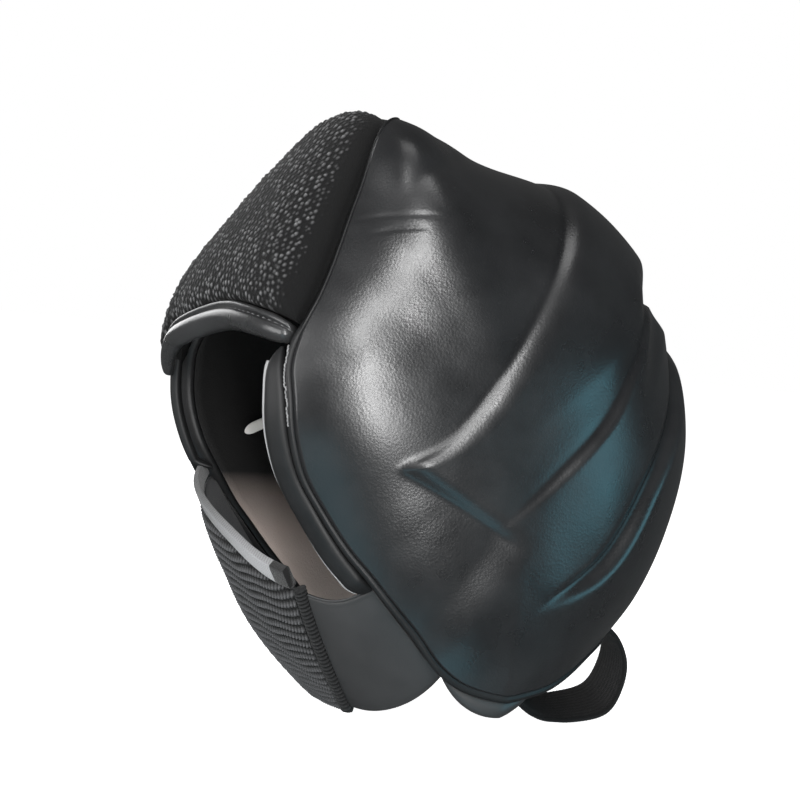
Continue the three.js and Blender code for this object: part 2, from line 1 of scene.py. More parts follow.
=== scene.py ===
"""Looks of a padded martial arts head guard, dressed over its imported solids."""
import bpy
import numpy as np
from mathutils import Matrix


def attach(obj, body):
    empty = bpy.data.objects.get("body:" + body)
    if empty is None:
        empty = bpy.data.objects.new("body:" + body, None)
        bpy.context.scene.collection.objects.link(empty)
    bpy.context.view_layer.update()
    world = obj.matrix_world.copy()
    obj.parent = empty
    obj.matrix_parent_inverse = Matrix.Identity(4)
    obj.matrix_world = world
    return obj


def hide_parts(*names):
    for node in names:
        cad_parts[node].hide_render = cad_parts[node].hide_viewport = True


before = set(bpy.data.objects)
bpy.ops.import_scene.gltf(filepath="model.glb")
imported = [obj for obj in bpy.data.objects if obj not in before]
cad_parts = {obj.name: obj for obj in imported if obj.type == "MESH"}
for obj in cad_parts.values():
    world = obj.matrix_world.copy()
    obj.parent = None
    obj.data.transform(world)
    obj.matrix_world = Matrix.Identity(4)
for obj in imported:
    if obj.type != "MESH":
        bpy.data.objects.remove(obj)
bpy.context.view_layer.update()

# Sizes are in millimetres, as the part is drawn, and meshes are made in metres.
MM = 0.001
LEFT = np.array([1, 0, 0])

# Main form: an egg about a centre, given by its half width and its outline in the middle plane.
CENTRE = np.array([0, -0.2, 127])
HALF_WIDTH = 103
# Columns: pitch (face 0, crown 90, back 180), radius, power of the cross section.
OUTLINE = [
    (-98, 155, 2.5), (-85, 145, 2.6), (-72, 131, 2.7), (-58, 120, 2.7), (-45, 111, 2.7), (-25, 106, 2.7),
    (0, 113.5, 2.8), (10, 114, 2.8), (20, 110.5, 2.8), (40, 110, 2.6), (55, 118, 2.5), (70, 131, 2.4),
    (82, 120, 2.4), (95, 112.5, 2.4), (110, 112.5, 2.4), (125, 112, 2.4), (138, 110, 2.4), (148, 103, 2.4),
    (158, 100.5, 2.4), (180, 104, 2.4), (200, 107, 2.4), (218, 113, 2.4), (235, 120, 2.5), (250, 141, 2.5),
    (262, 155, 2.5),
]

# Shell edge, left half. Columns: turn about the pole from the crown to the nape, reach from the pole.
POLE_PITCH = 165
CROWN_PITCH = 100
SHELL_EDGE = [
    (0, 89), (8, 92), (16, 99), (23, 106.5), (33, 116), (43, 124.5), (51, 131.5), (58, 135), (68, 137),
    (80, 139), (92, 139), (104, 135.5), (114, 130), (121, 124), (131, 115), (136.5, 110), (140, 105.5),
    (142, 101), (143.5, 96), (144.7, 91), (146, 86), (147.5, 80.5), (150, 74.5), (155, 68), (163, 63),
    (172, 60.5), (180, 60),
]
SHELL_WALL = 10
RIM_WIDTH = 3.5
RIM_PROUD = 0.6
GAP = 0.3
# Columns: share of the rim's width from its nose, rise by the wall, rise where the pad hides the edge.
RIM_SECTION = [
    (1, -0.05, 0), (0.92, -0.03, -0.02), (0.8, 0.01, -0.06), (0.6, 0.03, -0.13), (0.4, 0.01, -0.2),
    (0.2, -0.02, -0.24), (0.06, -0.12, -0.34), (0, -0.26, -0.42), (0, -0.55, -0.6), (0.06, -0.78, -0.78),
    (0.2, -0.92, -0.92), (0.5, -1, -1), (1, -1, -1),
]
# Degrees of pitch above the brow over which the pad comes to hide the edge.
PAD_HIDES = 8

# Lames: height and width of the step, the length over which it dies away behind its edge,
# depth of the groove before it, and its edge in side view (y, z), crown end first.
# The step dies away past the end of its edge, between the two distances of fade.
LAMES = [
    {"height": 4.5, "width": 10.5, "taper": 90, "groove": 0, "fade": (60, 120),
     "edge": [(51, 246), (37.5, 235.5), (30, 224), (21, 206), (4, 176), (-13, 148), (-31, 124), (-49, 111)]},
    {"height": 2.8, "width": 2.8, "taper": 45, "groove": 0.4, "fade": (-55, 8),
     "edge": [(97, 193), (82, 189), (72, 189), (66, 186), (60.5, 178), (53, 163), (39, 138), (20, 116),
              (-5, 88)]},
    {"height": 4, "width": 5, "taper": 45, "groove": 2.2, "fade": (-25, 10),
     "edge": [(109, 184), (90.5, 174.5), (85.5, 163), (80, 145), (65, 113), (48, 80), (25, 61)]},
]
LAME_GROOVE_WIDTH = 3
# How much narrower a step is at its tip, and the distances past its end between which it narrows.
TIP_NARROWS = 0.65
TIP_RUN = (-45, 0)
STEP_FOOT = 0.7
# Painted shade: strip of lowered gloss along a step's foot. Columns: how far before its edge, its half width,
# and where it fades past the end.
FOOT_BEFORE = 0.8
FOOT_WIDTH = 1.8
FOOT_FADE = (-30, 0)
# Valley along the second lame where it crosses the back of the head, and the y between which it comes in.
VALLEY_LAME = 1
VALLEY_DEPTH = 6.5
VALLEY_WIDTH = 16
VALLEY_Y = (56, 74)
# Under edge of the first lame, from its tip back to the second lame.
UNDER_EDGE = [(-49, 111), (-23, 98), (-1, 86)]
UNDER_WIDTH = 9
UNDER_FADE = (-6, 14)
# How far a side-view line runs on past both ends, its steps, and those between two points of a curve.
RUN_ON = 300
LINE_STEPS = 48
DENSE_STEPS = 40

# Padded lobe at the front of the crown: its back edge in side view (y, z), and the creases below it.
LOBE_EDGE = [(29, 246), (3.5, 241.5), (-19, 239), (-33, 234.5), (-41, 229), (-48, 220), (-53, 213)]
LOBE_HEIGHT = 5
LOBE_WIDTH = 11
LOBE_FADE = (-30, -4)
# Painted shade: how far the lobe's gloss is lowered, to keep a highlight off it.
LOBE_PAINTED_SHADE = 0.85
CREASES = [
    [(-66, 209), (-52, 213), (-38, 215), (-27, 214)],
    [(-62, 204), (-50, 208), (-38, 210)],
]
CREASE_DEPTH = 0.3
CREASE_WIDTH = 0.9
# Share of a crease's length over which it dies away at each end.
CREASE_FADE = 0.3

# Brow pad and its two bindings.
BROW_PITCH = 18
# Degrees by which the brow drops at the temples, sags from a lean on, and droops toward its right end.
BROW_DROP = 0.5
BROW_SAG = 9.5
SAG_FROM = 15
SAG_SPAN = 55
BROW_DROOP = 7
DROOP_DEGREES = 14
BROW_BINDING_WIDTH = 11
BROW_BINDING_THICK = 12
BROW_BINDING_SINK = 3
# Columns: place along from the right end, scale of the section.
BINDING_TAPER = [(0, 0.32), (0.06, 0.52), (0.16, 0.82), (0.3, 1), (0.9, 1), (1, 0.7)]
OUTLINE_AT_BROW = 105
PAD_GAP = 0.8
PAD_MIDDLE_PITCH = 50
PAD_PUFF = 10.5
PAD_EDGE_ROLL = 1
PAD_ROUND_POWER = 2.3
PAD_ROLL_POWER = 8
PAD_DEPTH = 7
CROWN_CORD = 2.2
CROWN_CORD_LIFT = -0.5
CROWN_CORD_FOOT = 70
CROWN_CORD_OUT = 1.6
SEAM_DEGREES = 0.9
BINDING_END_DEGREES = 1.4
BINDING_DEGREES = np.degrees(BROW_BINDING_WIDTH / OUTLINE_AT_BROW)
BINDING_ROUND_END = 0.02
# A thick roll and a thin one above it. Columns: width up the form, height off it.
DOUBLE_ROLL = [
    (-0.5, -0.3), (-0.52, -0.1), (-0.5, 0.1), (-0.45, 0.24), (-0.36, 0.35), (-0.24, 0.41), (-0.1, 0.42),
    (0.02, 0.39), (0.1, 0.33), (0.15, 0.25), (0.175, 0.19), (0.2, 0.25), (0.25, 0.34), (0.32, 0.38),
    (0.4, 0.35), (0.47, 0.25), (0.51, 0.12), (0.5, -0.3), (0.2, -0.5), (-0.2, -0.5),
]
ROLL_SEAM_ROW = 10

# Padded rolls inside the cheeks. Columns: name, side, pitch of the top end, pitch of the low end, scale.
CHEEK_ROLLS = [("left", 1, 17, -58, 1), ("right", -1, 14, -24, 0.5)]
ROLL_WIDTH = 11
ROLL_THICK = 9
ROLL_SINK = 5.5
ROLL_GAP = 0.8
ROLL_POWER = 0.7
# The low end tucks in by a depth over a share of the length, and both ends close in a nose that stays blunt.
ROLL_TUCK = 6
ROLL_TUCK_SHARE = 0.12
ROLL_END = 0.07
NOSE_LIMIT = 0.96
# Pale piping on one roll, its pale colour a painted highlight along that roll's inner edge: thickness, how
# far in it lies by the inset, lift, steps left bare at the ends.
PIPED_ROLL = "left"
ROLL_PIPING = 1.8
PIPING_REACH = 0.9
PIPING_LIFT = 1
PIPING_ENDS = 7
# Columns: place along from the low end, scale.
PIPING_TAPER = [(0, 0.5), (0.35, 0.6), (0.6, 1), (1, 1)]
ROLL_TAPER = [(0, 0.65), (0.12, 0.9), (0.3, 1), (0.75, 1), (0.9, 0.8), (1, 0.4)]

# Lips: soft padding that shows below the shell's lower edge on both sides, between two places along y.
LIPS = [("left", 1), ("right", -1)]
LIP_FRONT = -18
LIP_BACK = 36
LIP_HEIGHT = 10
LIP_THICK = 7
LIP_SINK = 5
LIP_DROP = 7
LIP_FULLNESS = 0.75
LIP_ENDS = 0.03

# Lumpy mesh cloth on the pad: spacing of its knots across and up, their size, height and how far they stray.
CELL_ACROSS = 2.9
CELL_UP = 2.5
KNOT_ACROSS = 0.8
KNOT_UP = 1.05
KNOT_HEIGHT = 0.9
KNOT_STRAY = 0.8
KNOT_SMALLEST = 0.3
# Weights and scale that turn whole numbers into scatter.
SCATTER_WEIGHTS = (127.1, 311.7, 74.7)
SCATTER_SCALE = 43758.5453
# Degrees from the shell's edge, and pitch toward the crown, between which the mesh gives way to smooth cloth,
# which is toned dark as painted shade.
SMOOTH_BESIDE = (2, 9)
SMOOTH_CROWN = (80, 90)

# Chin strap. Columns: place along from the right cheek to the closure, pitch.
STRAP_TOP = [(0, -27), (0.3, -31), (0.55, -36), (0.8, -42), (1, -47)]
STRAP_LOW = [(0, -83), (0.3, -80), (0.55, -78), (1, -77)]
# Columns: pitch, lean of the closure.
STRAP_END = [(-85, 2), (-77, 8), (-68, 16), (-58, 22), (-46, 26)]
STRAP_THICK = 6
STRAP_SINK = 4
STRAP_SEAM = 1.9
RIB_PITCH = 4
RIB_DEPTH = 1.8
RIB_WANDER = 0.5
RIB_WANDER_RUN = 5
RIB_WANDER_RISE = 7
RIB_SHARPNESS = 1.4
# Knitted loops: their pitch, shift from rib to rib, slant across a rib, and height in their dips.
KNIT_PITCH = 2.6
KNIT_SHIFT = 0.37
KNIT_SLANT = 0.8
KNIT_LOW = 0.3
# Ribbon: section, lift over the strap's edge, weave, start of its black end, darkest tone.
BINDING_WIDTH = 8
BINDING_LIFT = 6
RIBBON_THICK = 3.6
RIBBON_SQUARENESS = 0.3
RIBBON_WEAVE = 1.7
RIBBON_CUT = 0.93
RIBBON_DARK = 0.45
# Columns: place along from the right cheek, scale or tone.
RIBBON_TAPER = [(0, 0.8), (0.5, 1), (1, 1.25)]
RIBBON_TONE = [(0, 0.4), (0.3, 0.5), (0.6, 0.8), (0.8, 1), (1, 1)]
END_CORD = 6
CORD_TWIST = 4.5
CORD_WAIST = 0.84
TAB_TOP = [(0, -49), (0.5, -53), (1, -55)]
TAB_LOW = [(0, -77), (0.5, -80), (1, -84)]
TAB_THICK = 3
TAB_SINK = 7
HEM_CORD = 1.1
HEM_HEIGHT = 0.4
# Distances from the upper edge between which the hem rises.
HEM_RISE = (2.2, 1.4)
# Roundness of the edges of strap and tab, and tone of their backs.
SHEET_EDGE_POWER = 16
SHEET_BACK_TONE = 0.5

# Nape loop: centre line of the webbing in side view (y, z), and its section.
LOOP_PATH = [
    (72, 37), (81, 41), (93, 41), (101, 30), (101, 18), (95, 6), (81, 1.3), (63, 1.3), (53, 8), (55, 20),
]
WEBBING_WIDTH = 28
WEBBING_THICK = 2.6
LOOP_LEAN = 9
WEAVE_PITCH = 1.6
WEAVE_DEPTH = 0.3
WEBBING_RIB_PITCH = 2.4
TWILL_SHARE = 0.6
# The webbing thins toward its woven edges.
SELVEDGE_POWER = 12
SELVEDGE_THIN = 0.75

# Small blank tongue sewn inside the right cheek. Pitch and lean of its two ends.
TONGUE_FRONT = (-17, -56)
TONGUE_BACK = (-13, -69)
TONGUE_WIDTH = 5
TONGUE_THICK = 1.2
TONGUE_STANDS_OFF = 3
# Puff of its thickness, share of its length that makes the round end, and how far that closes.
TONGUE_PUFF = 1.1
TONGUE_NOSE = 0.25
TONGUE_TIP = 0.98

# Stitches, the same on the brow and in the seam beside the face.
STITCH_LENGTH = 2.8
STITCH_THICK = 0.8
STITCH_LIFT = 0.3
STITCH_NARROWS = 0.85
BROW_STITCH_GAP = 1.2
# Seam on the rolled edge: its pitches, share of the rim's width from the nose, overlap and raggedness.
SEAM_PITCH = (-3, 18)
SEAM_PLACE = 0.3
SEAM_GAP = -1.2
SEAM_STRAY = 0.9

# Fineness of the meshes.
EDGE_STEPS = 640
SHELL_CELLS = 296
SHELL_COARSE = 4
PAD_CELLS = 296
PAD_COARSE = 8
BROW_STEPS = 160
ROLL_STEPS = 120
ROLL_SIDES = 28
LIP_SIDES = 20
CROWN_CORD_SIDES = 12
THIN_CORD_SIDES = 10
STRAP_COLUMNS = 300
STRAP_ROWS = 150
BACK_ROWS = 30
TAB_COLUMNS = 90
TAB_ROWS = 60
CORD_STEPS = 160
CORD_SIDES = 18
RIBBON_STEPS = 300
RIBBON_SIDES = 24
LOOP_STEPS = 220
LOOP_COLUMNS = 44
TONGUE_STEPS = 40
TONGUE_SIDES = 20
STITCH_STEPS = 5
STITCH_SIDES = 6
FLOOR_SIDES = 96

# Leather: patches and dents per metre, pores to a grain, and heights in metres and strengths of the bumps.
PATCHES_PER_METRE = 28.0
PATCH_TONES = (0.3, 0.75)
PATCH_RANGE = (0.3, 0.7)
ROUGHNESS_SPREAD = (-0.05, 0.06)
DENTS_PER_METRE = 75.0
DENT_HEIGHT = 0.0004
DENT_STRENGTH = 0.2
GRAIN_STRAY = 0.95
GRAIN_STRENGTH = 0.22
PORES_TO_GRAIN = 2.6
PORE_HEIGHT = 0.5
PORE_STRENGTH = 0.2
FINE_DETAIL = 3.0
# Gloss of the leather where the painted shade is full.
PAINTED_SHADE_GLOSS = 0.12

# Cloth and lining, in the same units.
CLOTH_ROUGHNESS = 0.85
CLOTH_GLOSS = 0.2
CLOTH_SHEEN = 0.12
SHEEN_ROUGHNESS = 0.5
CLOTH_TONES = (0.15, 0.9)
FIBRE_DETAIL = 5.0
FIBRE_ROUGHNESS = 0.7
FIBRE_HEIGHT = 0.0006
FIBRE_STRENGTH = 0.6
LINING_FIBRES = 900.0
LINING_BROWN = (0.36, 0.3, 0.27)
LINING_PAINTED_SHADE = (0.006, 0.006, 0.006)
# Heights in metres below which the lining is brown and above which it is painted black, as painted shade
# inside the shell.
LINING_HEIGHTS = (0.058, 0.093)

# Camera and framing, from the photograph: degrees, metres and pixels of an 800 pixel frame.
CAMERA_AZIMUTH = 68
CAMERA_ELEVATION = 2.5
CAMERA_ROLL = 6
CAMERA_DISTANCE = 1.6
CAMERA_AIM = np.array([0, -0.001, 0.127])
FRAME_PIXELS = 800
PIXELS_PER_METRE = 2300
AIM_PIXEL = (424, 420)
SENSOR = 36

# Floor, surroundings and lights.
FLOOR_RADIUS = 6.0
FLOOR_GREY = 0.9
FLOOR_ROUGHNESS = 0.9
MIRRORED_LIGHT = 0.1
WHITE = (1, 1, 1)
TEAL = (0.25, 0.72, 0.9)
# Columns: name, place right, up and toward the camera and size in metres, watts, colour, tilt in degrees.
LIGHTS = [
    ("front_strip", (0.13, 0.2, 1.9), (0.22, 1.7), 56, WHITE, 14),
    ("high_strip", (-0.3, 1.25, 1.38), (0.3, 0.65), 18, WHITE, 30),
    ("top_box", (0, 1.45, 0.1), (0.7, 0.6), 5, WHITE, 0),
    ("left_box", (-1.3, 0.45, 0.6), (0.7, 1.2), 15, WHITE, 0),
    ("back_left", (-0.8, 0.6, -1.3), (0.9, 0.9), 10, WHITE, 0),
    ("low_box", (0.15, -1.35, 0.75), (0.8, 0.5), 2.2, TEAL, 0),
    ("teal_right", (1.5, -0.35, 0.4), (0.8, 0.8), 7, TEAL, 0),
    ("teal_low", (-0.8, -0.9, 1.1), (0.8, 0.8), 2.2, TEAL, 0),
]


def curve_value(rows, at, column=1):
    """Value at a key by a smooth curve through a table's rows, the ends held."""
    keys = np.array([row[0] for row in rows], float)
    values = np.array([row[column] for row in rows], float)
    last = len(keys) - 1
    at = np.clip(at, keys[0], keys[-1])
    i = np.clip(np.searchsorted(keys, at, side="right") - 1, 0, last - 1)
    before = np.maximum(i - 1, 0)
    after = np.minimum(i + 2, last)
    span = keys[i + 1] - keys[i]
    t = (at - keys[i]) / span
    slope_a = (values[i + 1] - values[before]) / (keys[i + 1] - keys[before]) * span
    slope_b = (values[after] - values[i]) / (keys[after] - keys[i]) * span
    rise = values[i + 1] - values[i]
    bend = 3 * rise - 2 * slope_a - slope_b
    twist = slope_a + slope_b - 2 * rise
    return values[i] + t * (slope_a + t * (bend + t * twist))


def smooth_line(points, count, closed=False):
    """Evenly spaced points on a smooth curve through the given points."""
    points = np.array(points, float)
    if closed:
        padded = np.concatenate([points[-1:], points, points[:2]])
    else:
        first = 2 * points[:1] - points[1:2]
        final = 2 * points[-1:] - points[-2:-1]
        padded = np.concatenate([first, points, final])
    dense = [padded[1:2]]
    t = np.linspace(0, 1, DENSE_STEPS + 1)[1:, None]
    for p0, p1, p2, p3 in zip(padded, padded[1:], padded[2:], padded[3:]):
        d0, d1, d2 = (np.sqrt(np.linalg.norm(b - a)) for a, b in ((p0, p1), (p1, p2), (p2, p3)))
        a = ((p1 - p0) / d0 - (p2 - p0) / (d0 + d1) + (p2 - p1) / d1) * d1
        b = ((p2 - p1) / d1 - (p3 - p1) / (d1 + d2) + (p3 - p2) / d2) * d1
        rise = p2 - p1
        dense.append(p1 + t * (a + t * (3 * rise - 2 * a - b + t * (a + b - 2 * rise))))
    dense = np.concatenate(dense)
    return resample(dense, np.linspace(0, 1, count + 1))[:count if closed else None]


def resample(points, shares):
    """Points at shares of a line's length."""
    steps = np.linalg.norm(np.diff(points, axis=0), axis=1)
    along = np.concatenate([[0], np.cumsum(steps)])
    return np.stack([np.interp(shares * along[-1], along, points[:, k]) for k in range(points.shape[1])], -1)


def line_length(points):
    return np.linalg.norm(np.diff(points, axis=0), axis=1).sum()


def unit(vectors):
    return vectors / np.linalg.norm(vectors, axis=-1, keepdims=True)


def smooth(value, low, high):
    t = np.clip((value - low) / (high - low), 0, 1)
    return t * t * (3 - 2 * t)


def wave(turns):
    """Wave between 0 and 1, at 1 on whole turns."""
    return 0.5 + 0.5 * np.cos(2 * np.pi * turns)


def scatter(*keys):
    """Even scatter from 0 to 1, the same for the same whole numbers."""
    mixed = sum(key * weight for key, weight in zip(keys, SCATTER_WEIGHTS))
    return np.mod(np.sin(mixed) * SCATTER_SCALE, 1)


def round_nose(share, limit):
    """Scale of a section at a share of its round nose, which may close as far as a limit."""
    return np.sqrt(1 - np.clip(1 - share, 0, limit) ** 2)


def round_ends(along, share):
    """Scale of a section that closes at both ends of its line, each nose a share of its length."""
    return round_nose(np.minimum(along, 1 - along) / share, NOSE_LIMIT)


def direction(pitch, lean):
    """Unit direction from the centre at a pitch and a lean toward the wearer's left."""
    pitch, lean = np.broadcast_arrays(np.radians(pitch), np.radians(lean))
    level = np.cos(lean)
    return np.stack([np.sin(lean), -level * np.cos(pitch), level * np.sin(pitch)], -1)


def pitch_of(dirs):
    pitch = np.degrees(np.arctan2(dirs[..., 2], -dirs[..., 1]))
    return np.where(pitch < OUTLINE[0][0], pitch + 360, pitch)


def lean_of(dirs):
    return np.degrees(np.arctan2(dirs[..., 0], np.hypot(dirs[..., 1], dirs[..., 2])))


def on_form(dirs, offset=0):
    """Points that stand off the main form by an offset, along directions from the centre."""
    pitch = pitch_of(dirs)
    middle = curve_value(OUTLINE, pitch)
    power = curve_value(OUTLINE, pitch, 2)
    side = np.abs(dirs[..., 0]) / HALF_WIDTH
    flat = np.hypot(dirs[..., 1], dirs[..., 2]) / middle
    radius = (side ** power + flat ** power) ** (-1 / power)
    return CENTRE + dirs * (radius + offset)[..., None]


def direction_to(points):
    return unit(points - CENTRE)


def pressed_flat(points):
    """Leather and cloth are pressed flat where they would pass below the floor."""
    points[..., 2] = np.maximum(points[..., 2], 0)
    return points


# Moulded relief of the shell

def endless_line(rows):
    """Smooth side-view line that runs on straight past both ends."""
    points = smooth_line(rows, LINE_STEPS)
    first = points[0] + unit(points[0] - points[1]) * RUN_ON
    final = points[-1] + unit(points[-1] - points[-2]) * RUN_ON
    return np.concatenate([[first], points, [final]])


def line_distance(line, points):
    """Side-view distance to a line, positive behind or above it."""
    y, z = points[..., 1], points[..., 2]
    best = np.full(y.shape, np.inf)
    for a, b in zip(line[:-1], line[1:]):
        dy, dz = b - a
        t = np.clip(((y - a[0]) * dy + (z - a[1]) * dz) / (dy * dy + dz * dz), 0, 1)
        gap = np.hypot(y - a[0] - t * dy, z - a[1] - t * dz)
        side = np.where(dy * (z - a[1]) - dz * (y - a[0]) >= 0, 1, -1)
        best = np.where(gap < np.abs(best), side * gap, best)
    return best


def past_end(line, points):
    """How far points lie past the end that a line's table gives."""
    end, beyond = line[-2], line[-1]
    return (points[..., 1:] - end) @ (beyond - end) / RUN_ON


def fade_past(line, points, fade):
    return 1 - smooth(past_end(line, points), *fade)


def step(distance, width):
    """Step with a small soft foot and a round top."""
    eased = STEP_FOOT * np.logaddexp(0, distance / STEP_FOOT)
    return 1 - (1 - np.clip(eased / width, 0, 1)) ** 2


for lame in LAMES:
    lame["line"] = endless_line(lame["edge"])
under_line = endless_line(UNDER_EDGE)
lobe_line = endless_line(LOBE_EDGE)
crease_lines = [endless_line(crease) for crease in CREASES]


def lame_height(lame, points):
    """Height of one lame and of the groove before it."""
    distance = line_distance(lame["line"], points)
    taper = np.exp(-np.maximum(distance, 0) / lame["taper"])
    groove = lame["groove"] * np.exp(-(distance / LAME_GROOVE_WIDTH) ** 2)
    width = lame["width"] * (1 - TIP_NARROWS * smooth(past_end(lame["line"], points), *TIP_RUN))
    height = lame["height"] * step(distance, width) * taper - groove
    return height * fade_past(lame["line"], points, lame["fade"])


def valley(points):
    """Depth of the valley between the first two lames, at the back of the head."""
    t = np.minimum(np.abs(line_distance(LAMES[VALLEY_LAME]["line"], points)) / VALLEY_WIDTH, 1)
    return VALLEY_DEPTH * (1 - t * t) ** 2 * smooth(points[..., 1], *VALLEY_Y)


def crease_depth(line, points):
    """Short crease that dies away at both ends."""
    share = -past_end(line, points) / line_length(line[1:-1])
    fade = smooth(share, 0, CREASE_FADE) * (1 - smooth(share, 1 - CREASE_FADE, 1))
    return CREASE_DEPTH * fade * np.exp(-(line_distance(line, points) / CREASE_WIDTH) ** 2)


def lobe_places(points):
    """Distance in from the lobe's back edge, and how much of the lobe is left there, from 0 to 1."""
    return -line_distance(lobe_line, points), fade_past(lobe_line, points, LOBE_FADE)


def relief(points):
    """Height of the moulded relief at places on the shell."""
    heights = [lame_height(lame, points) for lame in LAMES]
    under = 1 - step(line_distance(under_line, points), UNDER_WIDTH)
    heights[0] = heights[0] * (1 - under * fade_past(under_line, points, UNDER_FADE))
    inside, left_over = lobe_places(points)
    lobe = LOBE_HEIGHT * step(inside, LOBE_WIDTH) * left_over
    creases = sum(crease_depth(line, points) for line in crease_lines)
    return sum(heights) + lobe - valley(points) - creases


def dull_places(dirs):
    """Painted shade on the leather, from 0 to 1: gloss lowered in the feet of the lames' steps, where shade
    falls, and on the lobe, to keep a highlight off it.
    """
    points = on_form(dirs)
    feet = [np.exp(-((line_distance(lame["line"], points) + FOOT_BEFORE) / FOOT_WIDTH) ** 2)
            * fade_past(lame["line"], points, FOOT_FADE) for lame in LAMES]
    inside, left_over = lobe_places(points)
    lobe = LOBE_PAINTED_SHADE * smooth(inside, 0, LOBE_WIDTH) * left_over
    return np.max([*feet, lobe], axis=0)


# Meshes

def make_piece(name, points, faces, materials, face_material=None, values=None):
    """Piece on the root body from points in millimetres, with smooth faces that point out."""
    mesh = bpy.data.meshes.new(name)
    mesh.from_pydata((np.asarray(points) * MM).tolist(), [], [list(face) for face in faces])
    for material in materials:
        mesh.materials.append(material)
    if face_material is not None:
        mesh.polygons.foreach_set("material_index", np.asarray(face_material, np.int32))
    mesh.polygons.foreach_set("use_smooth", np.ones(len(mesh.polygons), bool))
    for key, value in (values or {}).items():
        attribute = mesh.attributes.new(key, "FLOAT", "POINT")
        attribute.data.foreach_set("value", np.asarray(value, np.float32).ravel())
    mesh.validate()
    mesh.update()
    face_out(mesh)
    piece = bpy.data.objects.new(name, mesh)
    bpy.context.scene.collection.objects.link(piece)
    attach(piece, "root")
    return piece


def face_out(mesh):
    """Turns the faces round where the mesh encloses a negative volume."""
    if sum(face.center.dot(face.normal) * face.area for face in mesh.polygons) < 0:
        mesh.flip_normals()


def grid_faces(rows, columns, wrap_rows=False, wrap_columns=False, start=0):
    """Quads of a grid of points, joined round on itself where it wraps."""
    r = np.arange(rows if wrap_rows else rows - 1)[:, None]
    c = np.arange(columns if wrap_columns else columns - 1)[None, :]
    r2, c2 = (r + 1) % rows, (c + 1) % columns
    here, below = r * columns, r2 * columns
    quads = np.stack(np.broadcast_arrays(here + c, here + c2, below + c2, below + c), -1)
    return (quads.reshape(-1, 4) + start).tolist()


def sweep_faces(rings, closed):
    """Faces of a tube through rings of equal length, capped at its ends where it isn't closed."""
    count, sides = rings.shape[:2]
    faces = grid_faces(count, sides, wrap_rows=closed, wrap_columns=True)
    if not closed:
        faces.append(list(range(sides))[::-1])
        faces.append([(count - 1) * sides + i for i in range(sides)])
    return faces


def ring_piece(name, rings, material, closed=False, **values):
    """Piece that is a tube through rings, with values of its mesh by name."""
    return make_piece(name, rings.reshape(-1, 3), sweep_faces(rings, closed), [material], values=values)


def round_section(sides, power=1.0):
    """Closed section one unit wide and high: a circle at power 1, squarer below it."""
    angle = (np.arange(sides) + 0.5) / sides * 2 * np.pi
    circle = np.stack([np.cos(angle), np.sin(angle)], -1)
    return np.sign(circle) * np.abs(circle) ** power / 2


def bar_rings(dirs, section, width, thick, sink, scale=1):
    """Rings of a bar along directions on the form; the section gives width up the form and height off it."""
    line = on_form(dirs, -sink)
    normal = direction_to(line)
    across = unit(np.cross(normal, np.gradient(line, axis=0)))
    wide, high = np.array(section).T[:, None, :, None] * np.broadcast_to(scale, len(line))[:, None, None]
    return pressed_flat(line[:, None] + across[:, None] * wide * width + normal[:, None] * high * thick)


def disc_grid(cells):
    """Square grid of points wrapped onto a disc: share of the radius and angle of each point."""
    line = np.linspace(-1, 1, cells + 1)
    a, b = (grid.ravel() for grid in np.meshgrid(line, line, indexing="ij"))
    wide = np.abs(a) > np.abs(b)
    share = np.where(wide, a, b)
    safe = np.where(share == 0, 1, share)
    angle = np.where(wide, np.pi / 4 * b / safe, np.pi / 2 - np.pi / 4 * a / safe)
    return np.abs(share), angle + np.where(share < 0, np.pi, 0)


def disc_border(cells):
    """Indices of a disc grid's outermost points, in order round it."""
    n = cells + 1
    line = np.arange(cells)
    return np.concatenate([line * n, cells * n + line, (cells - line) * n + cells, cells - line])


def dish_directions(middle, outline, cells):
    """Directions of a disc grid spread from a middle out to an outline."""
    up = np.cross(middle, LEFT)
    turn = np.arctan2(outline @ LEFT, outline @ up)
    reach = np.arccos(np.clip(outline @ middle, -1, 1))
    order = np.argsort(turn)
    share, angle = disc_grid(cells)
    angle = np.mod(angle + np.pi, 2 * np.pi) - np.pi
    swing = share * np.interp(angle, turn[order], reach[order], period=2 * np.pi)
    across = np.cos(angle)[:, None] * up + np.sin(angle)[:, None] * LEFT
    return np.cos(swing)[:, None] * middle + np.sin(swing)[:, None] * across, share


def dish_piece(name, middle, outline, lift, depth, cells, coarse, materials, **extra):
    """Closed dish between a lift off the main form and a depth in it; its inside has a coarser grid."""
    inner_cells = cells // coarse
    outer, share = dish_directions(middle, outline, cells)
    inner, _ = dish_directions(middle, outline, inner_cells)
    points = np.concatenate([on_form(outer, lift(outer, share)), on_form(inner, -depth)])
    start = len(outer)
    faces = grid_faces(cells + 1, cells + 1)
    outside_count = len(faces)
    faces += [face[::-1] for face in grid_faces(inner_cells + 1, inner_cells + 1, start=start)]
    border = disc_border(cells)
    inner_border = disc_border(inner_cells) + start
    for i, low in enumerate(inner_border):
        edge_points = [border[(i * coarse + k) % len(border)] for k in range(coarse + 1)]
        faces.append([low, inner_border[(i + 1) % len(inner_border)], *edge_points[::-1]][::-1])
    marks = np.zeros(len(faces))
    marks[outside_count:outside_count + inner_cells ** 2] = 1
    values = {key: np.concatenate([value(outer), np.zeros(len(inner))]) for key, value in extra.items()}
    return make_piece(name, points, faces, materials, face_material=marks, values=values)


